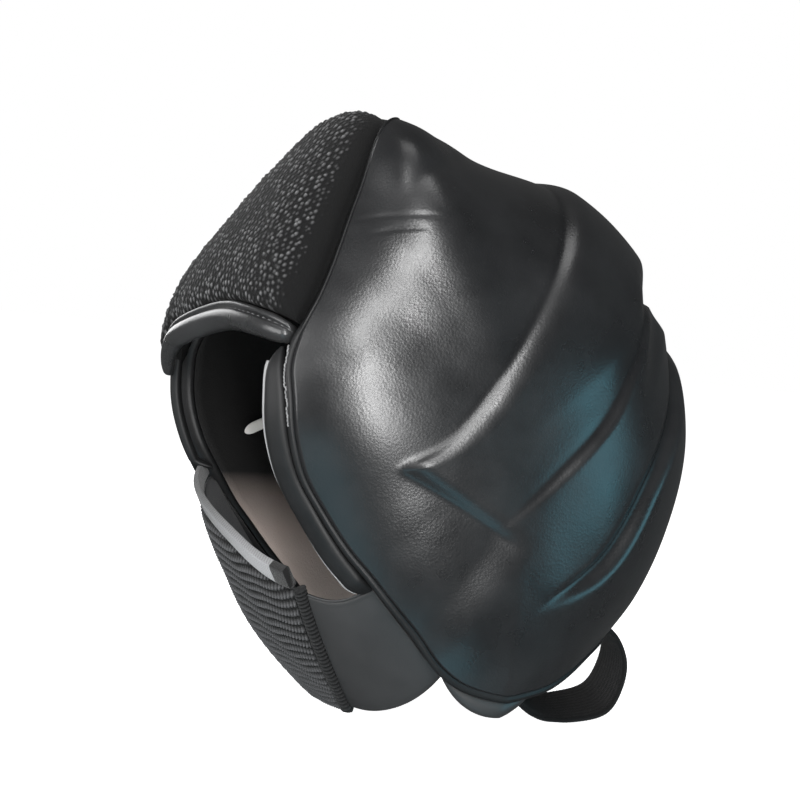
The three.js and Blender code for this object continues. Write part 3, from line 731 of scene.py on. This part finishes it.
def sheet_piece(name, columns, rows, top, low, lean_at, sink, thick, surface, material):
    """Closed curved band on the form; the surface gives height and mesh value by place, in millimetres."""
    along = np.linspace(0, 1, columns + 1)[:, None]
    upper, lower = curve_value(top, along), curve_value(low, along)

    def layer(share):
        pitch = lower + (upper - lower) * share
        return direction(pitch, lean_at(pitch, np.broadcast_to(along, pitch.shape)))

    def rounded(share):
        return thick / 2 * (1 - np.sqrt(np.clip(1 - (2 * share - 1) ** SHEET_EDGE_POWER, 0, 1)))

    front_share = np.linspace(0, 1, rows + 1)[None, :]
    back_share = np.linspace(1, 0, BACK_ROWS + 1)[None, :]
    front, back = layer(front_share), layer(back_share)
    places = on_form(front, -sink)
    run = np.cumsum(np.linalg.norm(np.diff(places, axis=0, prepend=places[:1]), axis=-1), axis=0)
    height = np.cumsum(np.linalg.norm(np.diff(places, axis=1, prepend=places[:, :1]), axis=-1), axis=1)
    lift, value = surface(run, height)
    under = np.broadcast_to(rounded(back_share) - sink - thick, back.shape[:2])
    rings = np.concatenate([on_form(front, lift - sink - rounded(front_share)), on_form(back, under)], axis=1)
    values = np.concatenate([value, np.full(back.shape[:2], SHEET_BACK_TONE)], axis=1)
    return ring_piece(name, pressed_flat(rings), material, height=values)


def stitches(name, line, gap, material, stray=0):
    """Row of separate stitches along a line, each a short thread that dips at both ends."""
    normals = direction_to(line)
    total = line_length(line)
    count = int(total / (STITCH_LENGTH + gap))
    starts = (np.arange(count) + 0.5) / count
    shape = np.linspace(-1, 1, STITCH_STEPS)
    radius = STITCH_THICK / 2 * np.sqrt(1 - (STITCH_NARROWS * shape) ** 2)
    angles = np.arange(STITCH_SIDES)[:, None] / STITCH_SIDES * 2 * np.pi
    points = []
    faces = []
    for number, start in enumerate(starts):
        shares = np.clip(start + shape * STITCH_LENGTH / 2 / total, 0, 1)
        spine = resample(line, shares)
        normal = unit(resample(normals, shares))
        side = unit(np.cross(normal, unit(spine[-1] - spine[0])))
        spine = spine + normal * (STITCH_LIFT - STITCH_THICK * shape ** 2)[:, None]
        spine = spine + side * stray * (scatter(number) - 0.5)
        ring = np.cos(angles) * side[:, None] + np.sin(angles) * normal[:, None]
        rings = spine[:, None] + ring * radius[:, None, None]
        first = len(points) * STITCH_STEPS * STITCH_SIDES
        faces += [[first + i for i in face] for face in sweep_faces(rings, False)]
        points.append(rings.reshape(-1, 3))
    return make_piece(name, np.concatenate(points), faces, [material])


# Shell edge

def shell_edge(steps):
    """Evenly spaced points on the main form, all the way round the shell's edge."""
    pole = direction(POLE_PITCH, 0)
    up = direction(POLE_PITCH - 90, 0)
    half = np.radians(np.array(SHELL_EDGE, float))
    other = half[1:-1][::-1] * np.array([-1, 1])
    turn, reach = np.concatenate([half, other]).T[:, :, None]
    across = np.cos(turn) * up + np.sin(turn) * LEFT
    points = on_form(np.cos(reach) * pole + np.sin(reach) * across)
    return on_form(direction_to(smooth_line(points, steps, closed=True)))


def edge_inward(points):
    """Ways into the shell along its surface, at right angles to its edge."""
    tangent = np.roll(points, -1, axis=0) - np.roll(points, 1, axis=0)
    return unit(np.cross(direction_to(points), tangent))


edge = shell_edge(EDGE_STEPS)
inward = edge_inward(edge)


def beside_edge(distance):
    """Directions of a line that runs along the shell edge, moved into the shell by a distance."""
    return direction_to(edge + inward * distance)


edge_dirs = direction_to(edge)
on_left = (edge_dirs[:, 0] > 0) & (pitch_of(edge_dirs) < CROWN_PITCH)
left_edge = sorted(zip(pitch_of(edge_dirs[on_left]), lean_of(edge_dirs[on_left])))


def edge_lean(pitch):
    """Lean of the shell edge at a pitch, on the left side of the face and jaw."""
    pitches, leans = np.array(left_edge).T
    return np.interp(pitch, pitches, leans)


# Materials

def new_material(name):
    """Empty node material and its node tree."""
    material = bpy.data.materials.new(name)
    material.use_nodes = True
    tree = material.node_tree
    tree.nodes.clear()
    return material, tree


def add_node(tree, kind, inputs=None, **settings):
    """Node of a kind, with plain values or links given by input name."""
    node = tree.nodes.new(kind)
    for key, value in settings.items():
        setattr(node, key, value)
    for key, value in (inputs or {}).items():
        if isinstance(value, bpy.types.NodeSocket):
            tree.links.new(value, node.inputs[key])
        else:
            node.inputs[key].default_value = value
    return node


def ramp(tree, factor, places, colours):
    """Colour that runs from one to another between two places of a factor."""
    node = add_node(tree, "ShaderNodeValToRGB", {"Fac": factor})
    for element, place, colour in zip(node.color_ramp.elements, places, colours):
        element.position = place
        element.color = (*colour, 1)
    return node.outputs["Color"]


def finish_material(tree, **inputs):
    """Principled shader with these inputs, on the material's output."""
    shader = add_node(tree, "ShaderNodeBsdfPrincipled", inputs)
    output = add_node(tree, "ShaderNodeOutputMaterial")
    tree.links.new(shader.outputs["BSDF"], output.inputs["Surface"])


def object_place(tree):
    return add_node(tree, "ShaderNodeTexCoord").outputs["Object"]


def mesh_value(tree, name):
    return add_node(tree, "ShaderNodeAttribute", attribute_name=name).outputs["Fac"]


def map_range(tree, value, source, target):
    """Value carried from one range to another and held at its ends."""
    node = add_node(tree, "ShaderNodeMapRange", {"Value": value, "From Min": source[0], "From Max": source[1],
                                                 "To Min": target[0], "To Max": target[1]})
    return node.outputs["Result"]


def noise(tree, place, scale, detail=4.0, rough=0.55):
    node = add_node(tree, "ShaderNodeTexNoise",
                    {"Vector": place, "Scale": scale, "Detail": detail, "Roughness": rough})
    return node.outputs["Fac"]


def bump(tree, height, distance, strength=1.0, under=None):
    inputs = {"Height": height, "Distance": distance, "Strength": strength}
    if under is not None:
        inputs["Normal"] = under
    return add_node(tree, "ShaderNodeBump", inputs).outputs["Normal"]


def leather(name, dark, light, roughness, grain_per_metre, grain_height, gloss=0.5, shaded=None):
    """Leather with faint grain and fine pores, less glossy where the named value of the mesh is high."""
    material, tree = new_material(name)
    place = object_place(tree)
    grain = add_node(tree, "ShaderNodeTexVoronoi",
                     {"Vector": place, "Scale": grain_per_metre, "Randomness": GRAIN_STRAY})
    patches = noise(tree, place, PATCHES_PER_METRE)
    pores = noise(tree, place, grain_per_metre * PORES_TO_GRAIN, FINE_DETAIL)
    dents = noise(tree, place, DENTS_PER_METRE, FINE_DETAIL)
    colour = ramp(tree, patches, PATCH_TONES, (dark, light))
    rough = map_range(tree, patches, PATCH_RANGE, [roughness + spread for spread in ROUGHNESS_SPREAD])
    normal = bump(tree, dents, DENT_HEIGHT, DENT_STRENGTH)
    normal = bump(tree, grain.outputs["Distance"], grain_height, GRAIN_STRENGTH, normal)
    normal = bump(tree, pores, grain_height * PORE_HEIGHT, PORE_STRENGTH, normal)
    if shaded:
        gloss = map_range(tree, mesh_value(tree, shaded), (0, 1), (gloss, PAINTED_SHADE_GLOSS))
    finish_material(tree, **{"Base Color": colour, "Roughness": rough, "Normal": normal,
                             "Specular IOR Level": gloss})
    return material


def fibre_bump(tree, place, fibres_per_metre):
    """Fine fibres of a cloth, and the bumps that they make."""
    fibres = noise(tree, place, fibres_per_metre, FIBRE_DETAIL, FIBRE_ROUGHNESS)
    return fibres, bump(tree, fibres, FIBRE_HEIGHT, FIBRE_STRENGTH)


def cloth(name, dark, light, fibres_per_metre, roughness=CLOTH_ROUGHNESS, sheen=CLOTH_SHEEN, attribute=None):
    """Matt cloth, toned by its fibres or by the named value of the mesh."""
    material, tree = new_material(name)
    fibres, normal = fibre_bump(tree, object_place(tree), fibres_per_metre)
    tone = mesh_value(tree, attribute) if attribute else fibres
    colour = ramp(tree, tone, CLOTH_TONES, (dark, light))
    finish_material(tree, **{"Base Color": colour, "Normal": normal, "Roughness": roughness,
                             "Specular IOR Level": CLOTH_GLOSS, "Sheen Weight": sheen,
                             "Sheen Roughness": SHEEN_ROUGHNESS})
    return material


def lining(name):
    """Soft brown lining, painted darker up to black round the head as painted shade inside the shell."""
    material, tree = new_material(name)
    place = object_place(tree)
    height = add_node(tree, "ShaderNodeSeparateXYZ", {"Vector": place}).outputs["Z"]
    share = map_range(tree, height, LINING_HEIGHTS, (0, 1))
    # Brown below and black above: the black is painted shade.
    colour = ramp(tree, share, (0, 1), (LINING_BROWN, LINING_PAINTED_SHADE))
    _, normal = fibre_bump(tree, place, LINING_FIBRES)
    finish_material(tree, **{"Base Color": colour, "Normal": normal, "Roughness": CLOTH_ROUGHNESS,
                             "Specular IOR Level": CLOTH_GLOSS})
    return material


# Columns: name, darkest and lightest colour, roughness, grains per metre, height of the grain, gloss.
BLACK_LEATHER = leather("black_leather", (0.006, 0.0062, 0.0066), (0.011, 0.0112, 0.0118),
                        0.3, 900.0, 0.00016, shaded="dull")
# Painted highlight: a lighter copy of the black leather, for the brow's bright rolls.
EDGE_LEATHER = leather("edge_leather", (0.012, 0.0122, 0.0126), (0.024, 0.0244, 0.0252),
                       0.3, 1100.0, 0.00022, 0.6)
# Painted shade: a darker, less glossy copy of the black leather, that keeps the rolled edge dark.
RIM_LEATHER = leather("rim_leather", (0.004, 0.0041, 0.0043), (0.008, 0.0082, 0.0086),
                      0.46, 1100.0, 0.00012, 0.25)
TAB_LEATHER = leather("tab_leather", (0.012, 0.0122, 0.0126), (0.018, 0.0182, 0.0188),
                      0.55, 1300.0, 0.00012)
# Painted shade: a darker, less glossy copy of the black leather, that keeps the cheek rolls dark.
ROLL_LEATHER = leather("roll_leather", (0.004, 0.0041, 0.0043), (0.008, 0.0082, 0.0086),
                       0.52, 1100.0, 0.00012, 0.28)
LIP_LEATHER = leather("lip_leather", (0.012, 0.0122, 0.0126), (0.021, 0.0214, 0.022), 0.45, 1100.0, 0.00012)
# Pale colour of the piping: a painted highlight along the left roll's edge.
PIPING = leather("piping", (0.12, 0.121, 0.123), (0.22, 0.221, 0.224), 0.32, 1500.0, 0.0001)
# Columns: name, darkest and lightest colour, fibres per metre, roughness, sheen.
MESH_CLOTH = cloth("mesh_cloth", (0.0005, 0.0005, 0.0006), (0.1, 0.1005, 0.102),
                   1500.0, sheen=0.02, attribute="height")
# The knit's tone follows its height: dark in its dips as painted shade.
KNIT = cloth("ribbed_knit", (0.0004, 0.0004, 0.0005), (0.05, 0.0505, 0.0525),
             1500.0, sheen=0.04, attribute="height")
CORD = cloth("closure_thread", (0.0004, 0.0004, 0.0005), (0.011, 0.0111, 0.0115),
             1500.0, sheen=0.04, attribute="height")
RIBBON = cloth("grey_ribbon", (0.002, 0.002, 0.002), (0.22, 0.222, 0.227), 1800.0, 0.8, attribute="height")
WEBBING = cloth("webbing", (0.0015, 0.0015, 0.0017), (0.006, 0.0061, 0.0065),
                1400.0, 0.8, 0.03, attribute="height")
TAPE = cloth("white_tape", (0.72, 0.71, 0.68), (0.86, 0.85, 0.82), 1600.0, 0.6, 0.0)
PALE_THREAD = cloth("pale_thread", (0.02, 0.02, 0.021), (0.24, 0.24, 0.243), 900.0, 0.5)
THREAD = cloth("thread", (0.04, 0.04, 0.041), (0.16, 0.161, 0.163), 2500.0, 0.5)
LINING = lining("lining")


# Shell and its rolled edge

def make_shell():
    """Moulded leather shell, lined inside."""
    def lift(dirs, _):
        return relief(on_form(dirs))

    outline = beside_edge(RIM_WIDTH + GAP)
    # The shell carries the painted shade value that lowers its leather's gloss.
    piece = dish_piece("shell_leather", direction(POLE_PITCH, 0), outline, lift, SHELL_WALL,
                       SHELL_CELLS, SHELL_COARSE, [BLACK_LEATHER, LINING], dull=dull_places)
    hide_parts("shell")


def beside_pad():
    """How far each point of the shell's edge lies beside the brow pad, from 0 to 1."""
    pitch = pitch_of(edge_dirs)
    return smooth(pitch, BROW_PITCH, BROW_PITCH + PAD_HIDES) * (pitch < 180)


def make_rim():
    """Rolled leather edge all the way round the shell."""
    height = relief(edge)
    hidden = beside_pad()
    rings = []
    for across, rise, plain in RIM_SECTION:
        dirs = beside_edge(across * RIM_WIDTH)
        lift = (rise + (plain - rise) * hidden) * SHELL_WALL
        rings.append(on_form(dirs, lift + (RIM_PROUD + height) * (1 + lift / SHELL_WALL)))
    rings = pressed_flat(np.stack(rings, 1))
    piece = ring_piece("rolled_edge", rings, RIM_LEATHER, closed=True)
    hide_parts("shell_rim")


def make_rim_stitches():
    """Pale ragged seam on the rolled edge, beside the left of the face."""
    dirs = beside_edge(RIM_WIDTH * SEAM_PLACE)
    line = on_form(dirs, relief(on_form(dirs)) + RIM_PROUD)
    pitch = pitch_of(edge_dirs)
    sewn = (pitch > SEAM_PITCH[0]) & (pitch < SEAM_PITCH[1]) & (edge_dirs[:, 0] > 0)
    piece = stitches("edge_stitches", line[sewn], SEAM_GAP, PALE_THREAD, SEAM_STRAY)


def make_cheek_roll(name, side, top, low, size):
    """Soft leather roll along the inside of the shell's edge; the left one shows a thin pale piping, whose
    pale colour is a painted highlight along its inner edge.
    """
    inset = np.degrees((ROLL_WIDTH / 2 + ROLL_GAP) / OUTLINE_AT_BROW)
    along = np.linspace(0, 1, ROLL_STEPS + 1)
    pitch = low + (top - low) * along
    dirs = direction(pitch, side * (edge_lean(pitch) - inset))
    scale = size * curve_value(ROLL_TAPER, along) * round_ends(along, ROLL_END)
    tuck = ROLL_SINK + ROLL_TUCK * (1 - smooth(along, 0, ROLL_TUCK_SHARE))
    rings = bar_rings(dirs, round_section(ROLL_SIDES, ROLL_POWER), ROLL_WIDTH, ROLL_THICK, tuck, scale)
    piece = ring_piece("cheek_leather_" + name, rings, ROLL_LEATHER)
    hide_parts("cheek_roll_" + name)
    if name != PIPED_ROLL:
        return
    body = slice(PIPING_ENDS, -PIPING_ENDS)
    inner = direction(pitch, side * (edge_lean(pitch) - inset * (1 + PIPING_REACH * scale)))
    thin = curve_value(PIPING_TAPER, along)
    cord = bar_rings(inner[body], round_section(THIN_CORD_SIDES), ROLL_PIPING, ROLL_PIPING,
                     tuck[body] - PIPING_LIFT, thin[body])
    piping = ring_piece("cheek_piping_" + name, cord, PIPING)


def make_lip(name, side):
    """Soft roll that hangs just below the shell's lower edge, beside the neck."""
    low = (edge[:, 0] * side > 0) & (edge[:, 2] < CENTRE[2])
    line = edge[low & (edge[:, 1] > LIP_FRONT) & (edge[:, 1] < LIP_BACK)]
    along = np.linspace(0, 1, len(line))
    bulge = np.sin(np.pi * np.clip(along, LIP_ENDS, 1 - LIP_ENDS)) ** LIP_FULLNESS
    middle = on_form(direction_to(line), -LIP_SINK)
    middle[:, 2] -= LIP_DROP * bulge
    x, z = round_section(LIP_SIDES).T
    section = np.stack([x * LIP_THICK, 0 * x, z * LIP_HEIGHT], -1)
    rings = pressed_flat(middle[:, None] + section * bulge[:, None, None])
    piece = ring_piece("lip_leather_" + name, rings, LIP_LEATHER)
    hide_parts("lip_" + name)


# Brow pad and its bindings

def brow_pitch(lean):
    """Pitch of the brow edge, lower at the temples, which sags toward the right and droops at that end."""
    reach = edge_lean(BROW_PITCH)
    sag = BROW_SAG * smooth(SAG_FROM - lean, 0, SAG_SPAN)
    droop = BROW_DROOP * smooth(-lean, reach - DROOP_DEGREES, reach)
    return BROW_PITCH - BROW_DROP * (lean / reach) ** 2 - (sag + droop)


def brow_top(lean):
    return brow_pitch(lean) + BINDING_DEGREES + SEAM_DEGREES / 2


def pad_outline():
    """Down the left shell edge, across the brow and up the right shell edge."""
    beside = beside_edge(-PAD_GAP)
    keep = (pitch_of(beside) > brow_top(lean_of(beside))) & (pitch_of(beside) < CROWN_PITCH)
    half = len(beside) // 2
    left, right = beside[:half][keep[:half]], beside[half:][keep[half:]]
    reach = lean_of(left[-1])
    lean = np.linspace(reach, -reach, BROW_STEPS + 2)[1:-1]
    return np.concatenate([left, direction(brow_top(lean), lean), right])


def mesh_knots(dirs):
    """Height of the lumpy mesh cloth, from 0 between its knots to 1 on the largest."""
    across = np.radians(lean_of(dirs)) * HALF_WIDTH
    up = np.radians(pitch_of(dirs)) * (OUTLINE_AT_BROW + PAD_PUFF)
    row = np.floor(up / CELL_UP)
    shift = np.mod(row, 2) / 2
    column = np.floor(across / CELL_ACROSS + shift)
    du = across - (column - shift + 0.5) * CELL_ACROSS + KNOT_STRAY * (2 * scatter(column, row, 1) - 1)
    dv = up - (row + 0.5) * CELL_UP + KNOT_STRAY * (2 * scatter(column, row, 2) - 1)
    size = KNOT_SMALLEST + (1 - KNOT_SMALLEST) * scatter(column, row, 3)
    return size * np.exp(-((du / KNOT_ACROSS) ** 2 + (dv / KNOT_UP) ** 2))


def open_mesh(dirs):
    """How open the mesh is, from 0 on the smooth borders beside the shell to 1."""
    beside = edge_lean(pitch_of(dirs)) - np.abs(lean_of(dirs))
    return smooth(beside, *SMOOTH_BESIDE) * (1 - smooth(pitch_of(dirs), *SMOOTH_CROWN))


def mesh_tone_and_shade(dirs):
    """Tone of the mesh cloth: dark between its knots, and dark on its smooth borders as painted shade."""
    return mesh_knots(dirs) * open_mesh(dirs)


def make_brow_pad():
    """Stuffed bolster over the brow, in open mesh cloth."""
    def lift(dirs, share):
        puff = PAD_PUFF * np.sqrt(np.maximum(1 - share ** PAD_ROUND_POWER, 0))
        knots = KNOT_HEIGHT * (mesh_knots(dirs) - 0.5) * open_mesh(dirs)
        return puff - PAD_EDGE_ROLL * share ** PAD_ROLL_POWER + knots

    piece = dish_piece("brow_pad_cloth", direction(PAD_MIDDLE_PITCH, 0), pad_outline(), lift, PAD_DEPTH,
                       PAD_CELLS, PAD_COARSE, [MESH_CLOTH, LINING], height=mesh_tone_and_shade)
    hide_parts("brow_pad")


def make_brow_binding():
    """Leather binding along the brow, folded into two rolls with a row of stitches between them."""
    reach = edge_lean(BROW_PITCH) - BINDING_END_DEGREES
    lean = np.linspace(-reach, reach, BROW_STEPS + 1)
    dirs = direction(brow_pitch(lean) + BINDING_DEGREES / 2, lean)
    along = np.linspace(0, 1, BROW_STEPS + 1)
    scale = curve_value(BINDING_TAPER, along) * round_ends(along, BINDING_ROUND_END)
    width = BROW_BINDING_WIDTH - 2 * GAP
    rings = bar_rings(dirs, DOUBLE_ROLL, width, BROW_BINDING_THICK, BROW_BINDING_SINK, scale)
    piece = ring_piece("brow_roll", rings, EDGE_LEATHER)
    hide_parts("brow_binding")
    row = stitches("brow_stitches", rings[:, ROLL_SEAM_ROW], BROW_STITCH_GAP, THREAD)


def make_crown_binding():
    """Thin cord round the crown end of the pad, in the seam between pad and shell."""
    seam = np.roll(beside_edge(-CROWN_CORD_OUT), len(edge) // 2, axis=0)
    dirs = seam[(pitch_of(seam) > CROWN_CORD_FOOT) & (pitch_of(seam) < CROWN_PITCH)]
    rings = bar_rings(dirs, round_section(CROWN_CORD_SIDES), CROWN_CORD, CROWN_CORD, -CROWN_CORD_LIFT)
    piece = ring_piece("crown_piping", rings, RIM_LEATHER)
    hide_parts("crown_binding")


# Chin strap, its bindings and the jaw tab

def strap_end_lean(pitch):
    return curve_value(STRAP_END, pitch)


def strap_lean(pitch, along):
    """Lean of the chin strap from the right shell edge to the corded end."""
    start = STRAP_SEAM - edge_lean(pitch)
    return start + (strap_end_lean(pitch) - STRAP_SEAM - start) * along


def tab_lean(pitch, along):
    """Lean of the jaw tab from the closure to the left shell edge."""
    start = strap_end_lean(pitch) + STRAP_SEAM
    return start + (edge_lean(pitch) - STRAP_SEAM - start) * along


def knit_surface(run, height):
    """Ribs along the strap, each a row of knitted loops that lean from row to row; the same value tones the
    knit, darker in its dips as painted shade.
    """
    wander = RIB_WANDER * np.sin(run / RIB_WANDER_RUN + height / RIB_WANDER_RISE)
    rib = (height + wander) / RIB_PITCH
    row = np.floor(rib)
    crest = np.sin(np.pi * (rib - row)) ** RIB_SHARPNESS
    loops = wave(run / KNIT_PITCH + KNIT_SHIFT * row + KNIT_SLANT * np.abs(rib - row - 0.5))
    value = crest * (KNIT_LOW + (1 - KNIT_LOW) * loops)
    return RIB_DEPTH * (value - 1), value


def make_chin_strap():
    """Soft ribbed band across the chin."""
    piece = sheet_piece("chin_knit", STRAP_COLUMNS, STRAP_ROWS, STRAP_TOP, STRAP_LOW, strap_lean,
                        STRAP_SINK, STRAP_THICK, knit_surface, KNIT)
    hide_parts("chin_strap")


def tab_surface(run, height):
    """Plain leather with a thin turned hem along its upper edge."""
    from_top = height[:, -1:] - height
    return HEM_HEIGHT * smooth(from_top, *HEM_RISE), np.ones_like(run)


def make_jaw_tab():
    """Leather tab from the shell's left jaw to the closure."""
    piece = sheet_piece("jaw_leather", TAB_COLUMNS, TAB_ROWS, TAB_TOP, TAB_LOW, tab_lean,
                        TAB_SINK, TAB_THICK, tab_surface, TAB_LEATHER)
    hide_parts("jaw_tab")
    along = np.linspace(0, 1, TAB_COLUMNS + 1)
    pitch = curve_value(TAB_TOP, along)
    dirs = direction(pitch, tab_lean(pitch, along))
    cord = bar_rings(dirs, round_section(THIN_CORD_SIDES), HEM_CORD, HEM_CORD, TAB_SINK + HEM_CORD / 2)
    hem = ring_piece("jaw_hem", cord, LIP_LEATHER)


def make_chin_binding():
    """Grey ribbon folded over the upper edge of the chin strap."""
    along = np.linspace(0, 1, RIBBON_STEPS + 1)
    pitch = curve_value(STRAP_TOP, along) + np.degrees(BINDING_LIFT / OUTLINE_AT_BROW)
    dirs = direction(pitch, strap_lean(pitch, along))
    section = round_section(RIBBON_SIDES, RIBBON_SQUARENESS)
    scale = curve_value(RIBBON_TAPER, along)
    rings = bar_rings(dirs, section, BINDING_WIDTH, RIBBON_THICK, STRAP_SINK + STRAP_THICK / 2, scale)
    run = along[:, None] * line_length(on_form(dirs))
    weave = wave(run / RIBBON_WEAVE + np.arange(RIBBON_SIDES) / 2 - 1 / 4)
    tone = curve_value(RIBBON_TONE, along) * (along < RIBBON_CUT)
    piece = ring_piece("chin_ribbon", rings, RIBBON, height=(RIBBON_DARK + weave / 2) * tone[:, None])
    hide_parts("chin_binding")


def make_strap_cord():
    """Thick overlocked edge at the closure end of the chin strap."""
    pitch = np.linspace(STRAP_TOP[-1][1], STRAP_LOW[-1][1], CORD_STEPS + 1)
    dirs = direction(pitch, strap_end_lean(pitch))
    run = np.linspace(0, line_length(on_form(dirs)), CORD_STEPS + 1)[:, None]
    turn = (np.arange(CORD_SIDES) + 0.5) / CORD_SIDES
    value = wave(2 * run / CORD_TWIST + turn)
    rings = bar_rings(dirs, round_section(CORD_SIDES), END_CORD, END_CORD, STRAP_SINK + END_CORD / 2)
    middle = rings.mean(axis=1, keepdims=True)
    scale = CORD_WAIST + (1 - CORD_WAIST) * value
    rings = pressed_flat(middle + (rings - middle) * scale[..., None])
    piece = ring_piece("closure_cord", rings, CORD, height=value)
    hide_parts("strap_cord")


# Nape loop and tongue

def make_nape_loop():
    """Woven webbing loop that hangs under the nape."""
    line = smooth_line(LOOP_PATH, LOOP_STEPS)
    tangent = unit(np.gradient(line, axis=0))
    off = np.stack([-tangent[:, 1], tangent[:, 0]], -1)
    along = np.linspace(0, 1, LOOP_STEPS + 1)[:, None]
    across = np.linspace(-0.5, 0.5, LOOP_COLUMNS + 1) * WEBBING_WIDTH
    twill = wave((along * line_length(line) + np.abs(across)) / WEAVE_PITCH)
    value = TWILL_SHARE * twill + (1 - TWILL_SHARE) * wave(across / WEBBING_RIB_PITCH)
    thin = np.sqrt(1 - SELVEDGE_THIN * (2 * across / WEBBING_WIDTH) ** SELVEDGE_POWER)
    half = WEBBING_THICK / 2 * thin - WEAVE_DEPTH * (1 - value)
    x = np.broadcast_to(across[None, :, None], half.shape + (1,))
    upper, lower = (np.concatenate([x, line[:, None] + side * half[..., None] * off[:, None]], -1)
                    for side in (1, -1))
    rings = np.concatenate([upper, lower[:, ::-1]], 1)
    lean = LOOP_LEAN * np.sqrt(np.sin(np.pi * along))
    rings[..., 2] += lean * (0.5 - rings[..., 0] / WEBBING_WIDTH)
    values = np.concatenate([value, value[:, ::-1]], 1)
    piece = ring_piece("nape_webbing", pressed_flat(rings), WEBBING, height=values)
    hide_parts("nape_loop")


def make_tongue():
    """Small white tape tongue with a round end."""
    along = np.linspace(0, 1, TONGUE_STEPS + 1)[:, None]
    pitch, lean = (np.array(TONGUE_FRONT) * (1 - along) + np.array(TONGUE_BACK) * along).T
    rings = bar_rings(direction(pitch, lean), round_section(TONGUE_SIDES), TONGUE_WIDTH,
                      TONGUE_THICK * TONGUE_PUFF, SHELL_WALL + TONGUE_STANDS_OFF)
    middle = rings.mean(axis=1, keepdims=True)
    nose = round_nose(along / TONGUE_NOSE, TONGUE_TIP)
    rings = middle + (rings - middle) * nose[..., None]
    piece = ring_piece("tongue_tape", rings, TAPE)
    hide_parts("inner_tongue")


# Camera, stage and light

def camera_axes():
    """Right, up and backward directions of the camera."""
    azimuth, elevation, roll = np.radians([CAMERA_AZIMUTH, CAMERA_ELEVATION, CAMERA_ROLL])
    right = np.array([np.cos(azimuth), np.sin(azimuth), 0])
    level = np.array([np.sin(azimuth), -np.cos(azimuth), 0])
    back = level * np.cos(elevation) + np.array([0, 0, np.sin(elevation)])
    up = np.cross(back, right)
    return right * np.cos(roll) + up * np.sin(roll), up * np.cos(roll) - right * np.sin(roll), back


def put_in_scene(data, axes, place):
    """Camera or light with its own axes along three directions."""
    thing = bpy.data.objects.new(data.name, data)
    matrix = np.eye(4)
    matrix[:3] = np.stack([*axes, place], 1)
    thing.matrix_world = Matrix(matrix.tolist())
    bpy.context.scene.collection.objects.link(thing)
    return thing


def make_camera():
    """Camera that frames the guard as the photograph does."""
    data = bpy.data.cameras.new("camera")
    data.sensor_width = SENSOR
    data.lens = PIXELS_PER_METRE * CAMERA_DISTANCE / FRAME_PIXELS * SENSOR
    data.shift_x = (FRAME_PIXELS / 2 - AIM_PIXEL[0]) / FRAME_PIXELS
    data.shift_y = (AIM_PIXEL[1] - FRAME_PIXELS / 2) / FRAME_PIXELS
    right, up, back = camera_axes()
    bpy.context.scene.camera = put_in_scene(data, (right, up, back), CAMERA_AIM + back * CAMERA_DISTANCE)


def make_stage():
    """Wide pale floor."""
    angle = np.arange(FLOOR_SIDES) / FLOOR_SIDES * 2 * np.pi
    rim = [(FLOOR_RADIUS * np.cos(a), FLOOR_RADIUS * np.sin(a), 0) for a in angle]
    mesh = bpy.data.meshes.new("floor")
    mesh.from_pydata(rim, [], [list(range(FLOOR_SIDES))])
    material, tree = new_material("pale_floor")
    finish_material(tree, **{"Base Color": (*[FLOOR_GREY] * 3, 1), "Roughness": FLOOR_ROUGHNESS,
                             "Emission Color": (*WHITE, 1), "Emission Strength": 1.0})
    mesh.materials.append(material)
    floor = bpy.data.objects.new("floor", mesh)
    floor.visible_glossy = False
    floor.visible_shadow = False
    bpy.context.scene.collection.objects.link(floor)


def make_world():
    """White surroundings for the eye, dimmer ones for what the part mirrors."""
    world = bpy.data.worlds.new("surroundings")
    world.use_nodes = True
    tree = world.node_tree
    tree.nodes.clear()
    seen = add_node(tree, "ShaderNodeLightPath").outputs["Is Camera Ray"]
    white = add_node(tree, "ShaderNodeBackground", {"Color": (*WHITE, 1), "Strength": 1.0})
    dim = add_node(tree, "ShaderNodeBackground", {"Color": (*WHITE, 1), "Strength": MIRRORED_LIGHT})
    mix = add_node(tree, "ShaderNodeMixShader", {"Fac": seen})
    tree.links.new(dim.outputs["Background"], mix.inputs[1])
    tree.links.new(white.outputs["Background"], mix.inputs[2])
    output = add_node(tree, "ShaderNodeOutputWorld")
    tree.links.new(mix.outputs["Shader"], output.inputs["Surface"])
    bpy.context.scene.world = world


def make_light(name, place, size, watts, colour, tilt):
    """Soft box that faces the middle of the guard, from a place in the camera's own directions."""
    right, up, back = camera_axes()
    data = bpy.data.lights.new(name, "AREA")
    data.shape = "RECTANGLE"
    data.size, data.size_y = size
    data.energy = watts
    data.color = colour
    toward = right * place[0] + up * place[1] + back * place[2]
    z = unit(toward)
    level = unit(np.cross(up, z))
    x = level * np.cos(np.radians(tilt)) + np.cross(z, level) * np.sin(np.radians(tilt))
    put_in_scene(data, (x, np.cross(z, x), z), CAMERA_AIM + toward)


bpy.context.scene.view_settings.view_transform = "Standard"
make_camera()
make_stage()
make_world()
for light in LIGHTS:
    make_light(*light)
make_shell()
make_rim()
make_rim_stitches()
for roll in CHEEK_ROLLS:
    make_cheek_roll(*roll)
for lip in LIPS:
    make_lip(*lip)
make_brow_pad()
make_brow_binding()
make_crown_binding()
make_chin_strap()
make_jaw_tab()
make_chin_binding()
make_strap_cord()
make_nape_loop()
make_tongue()
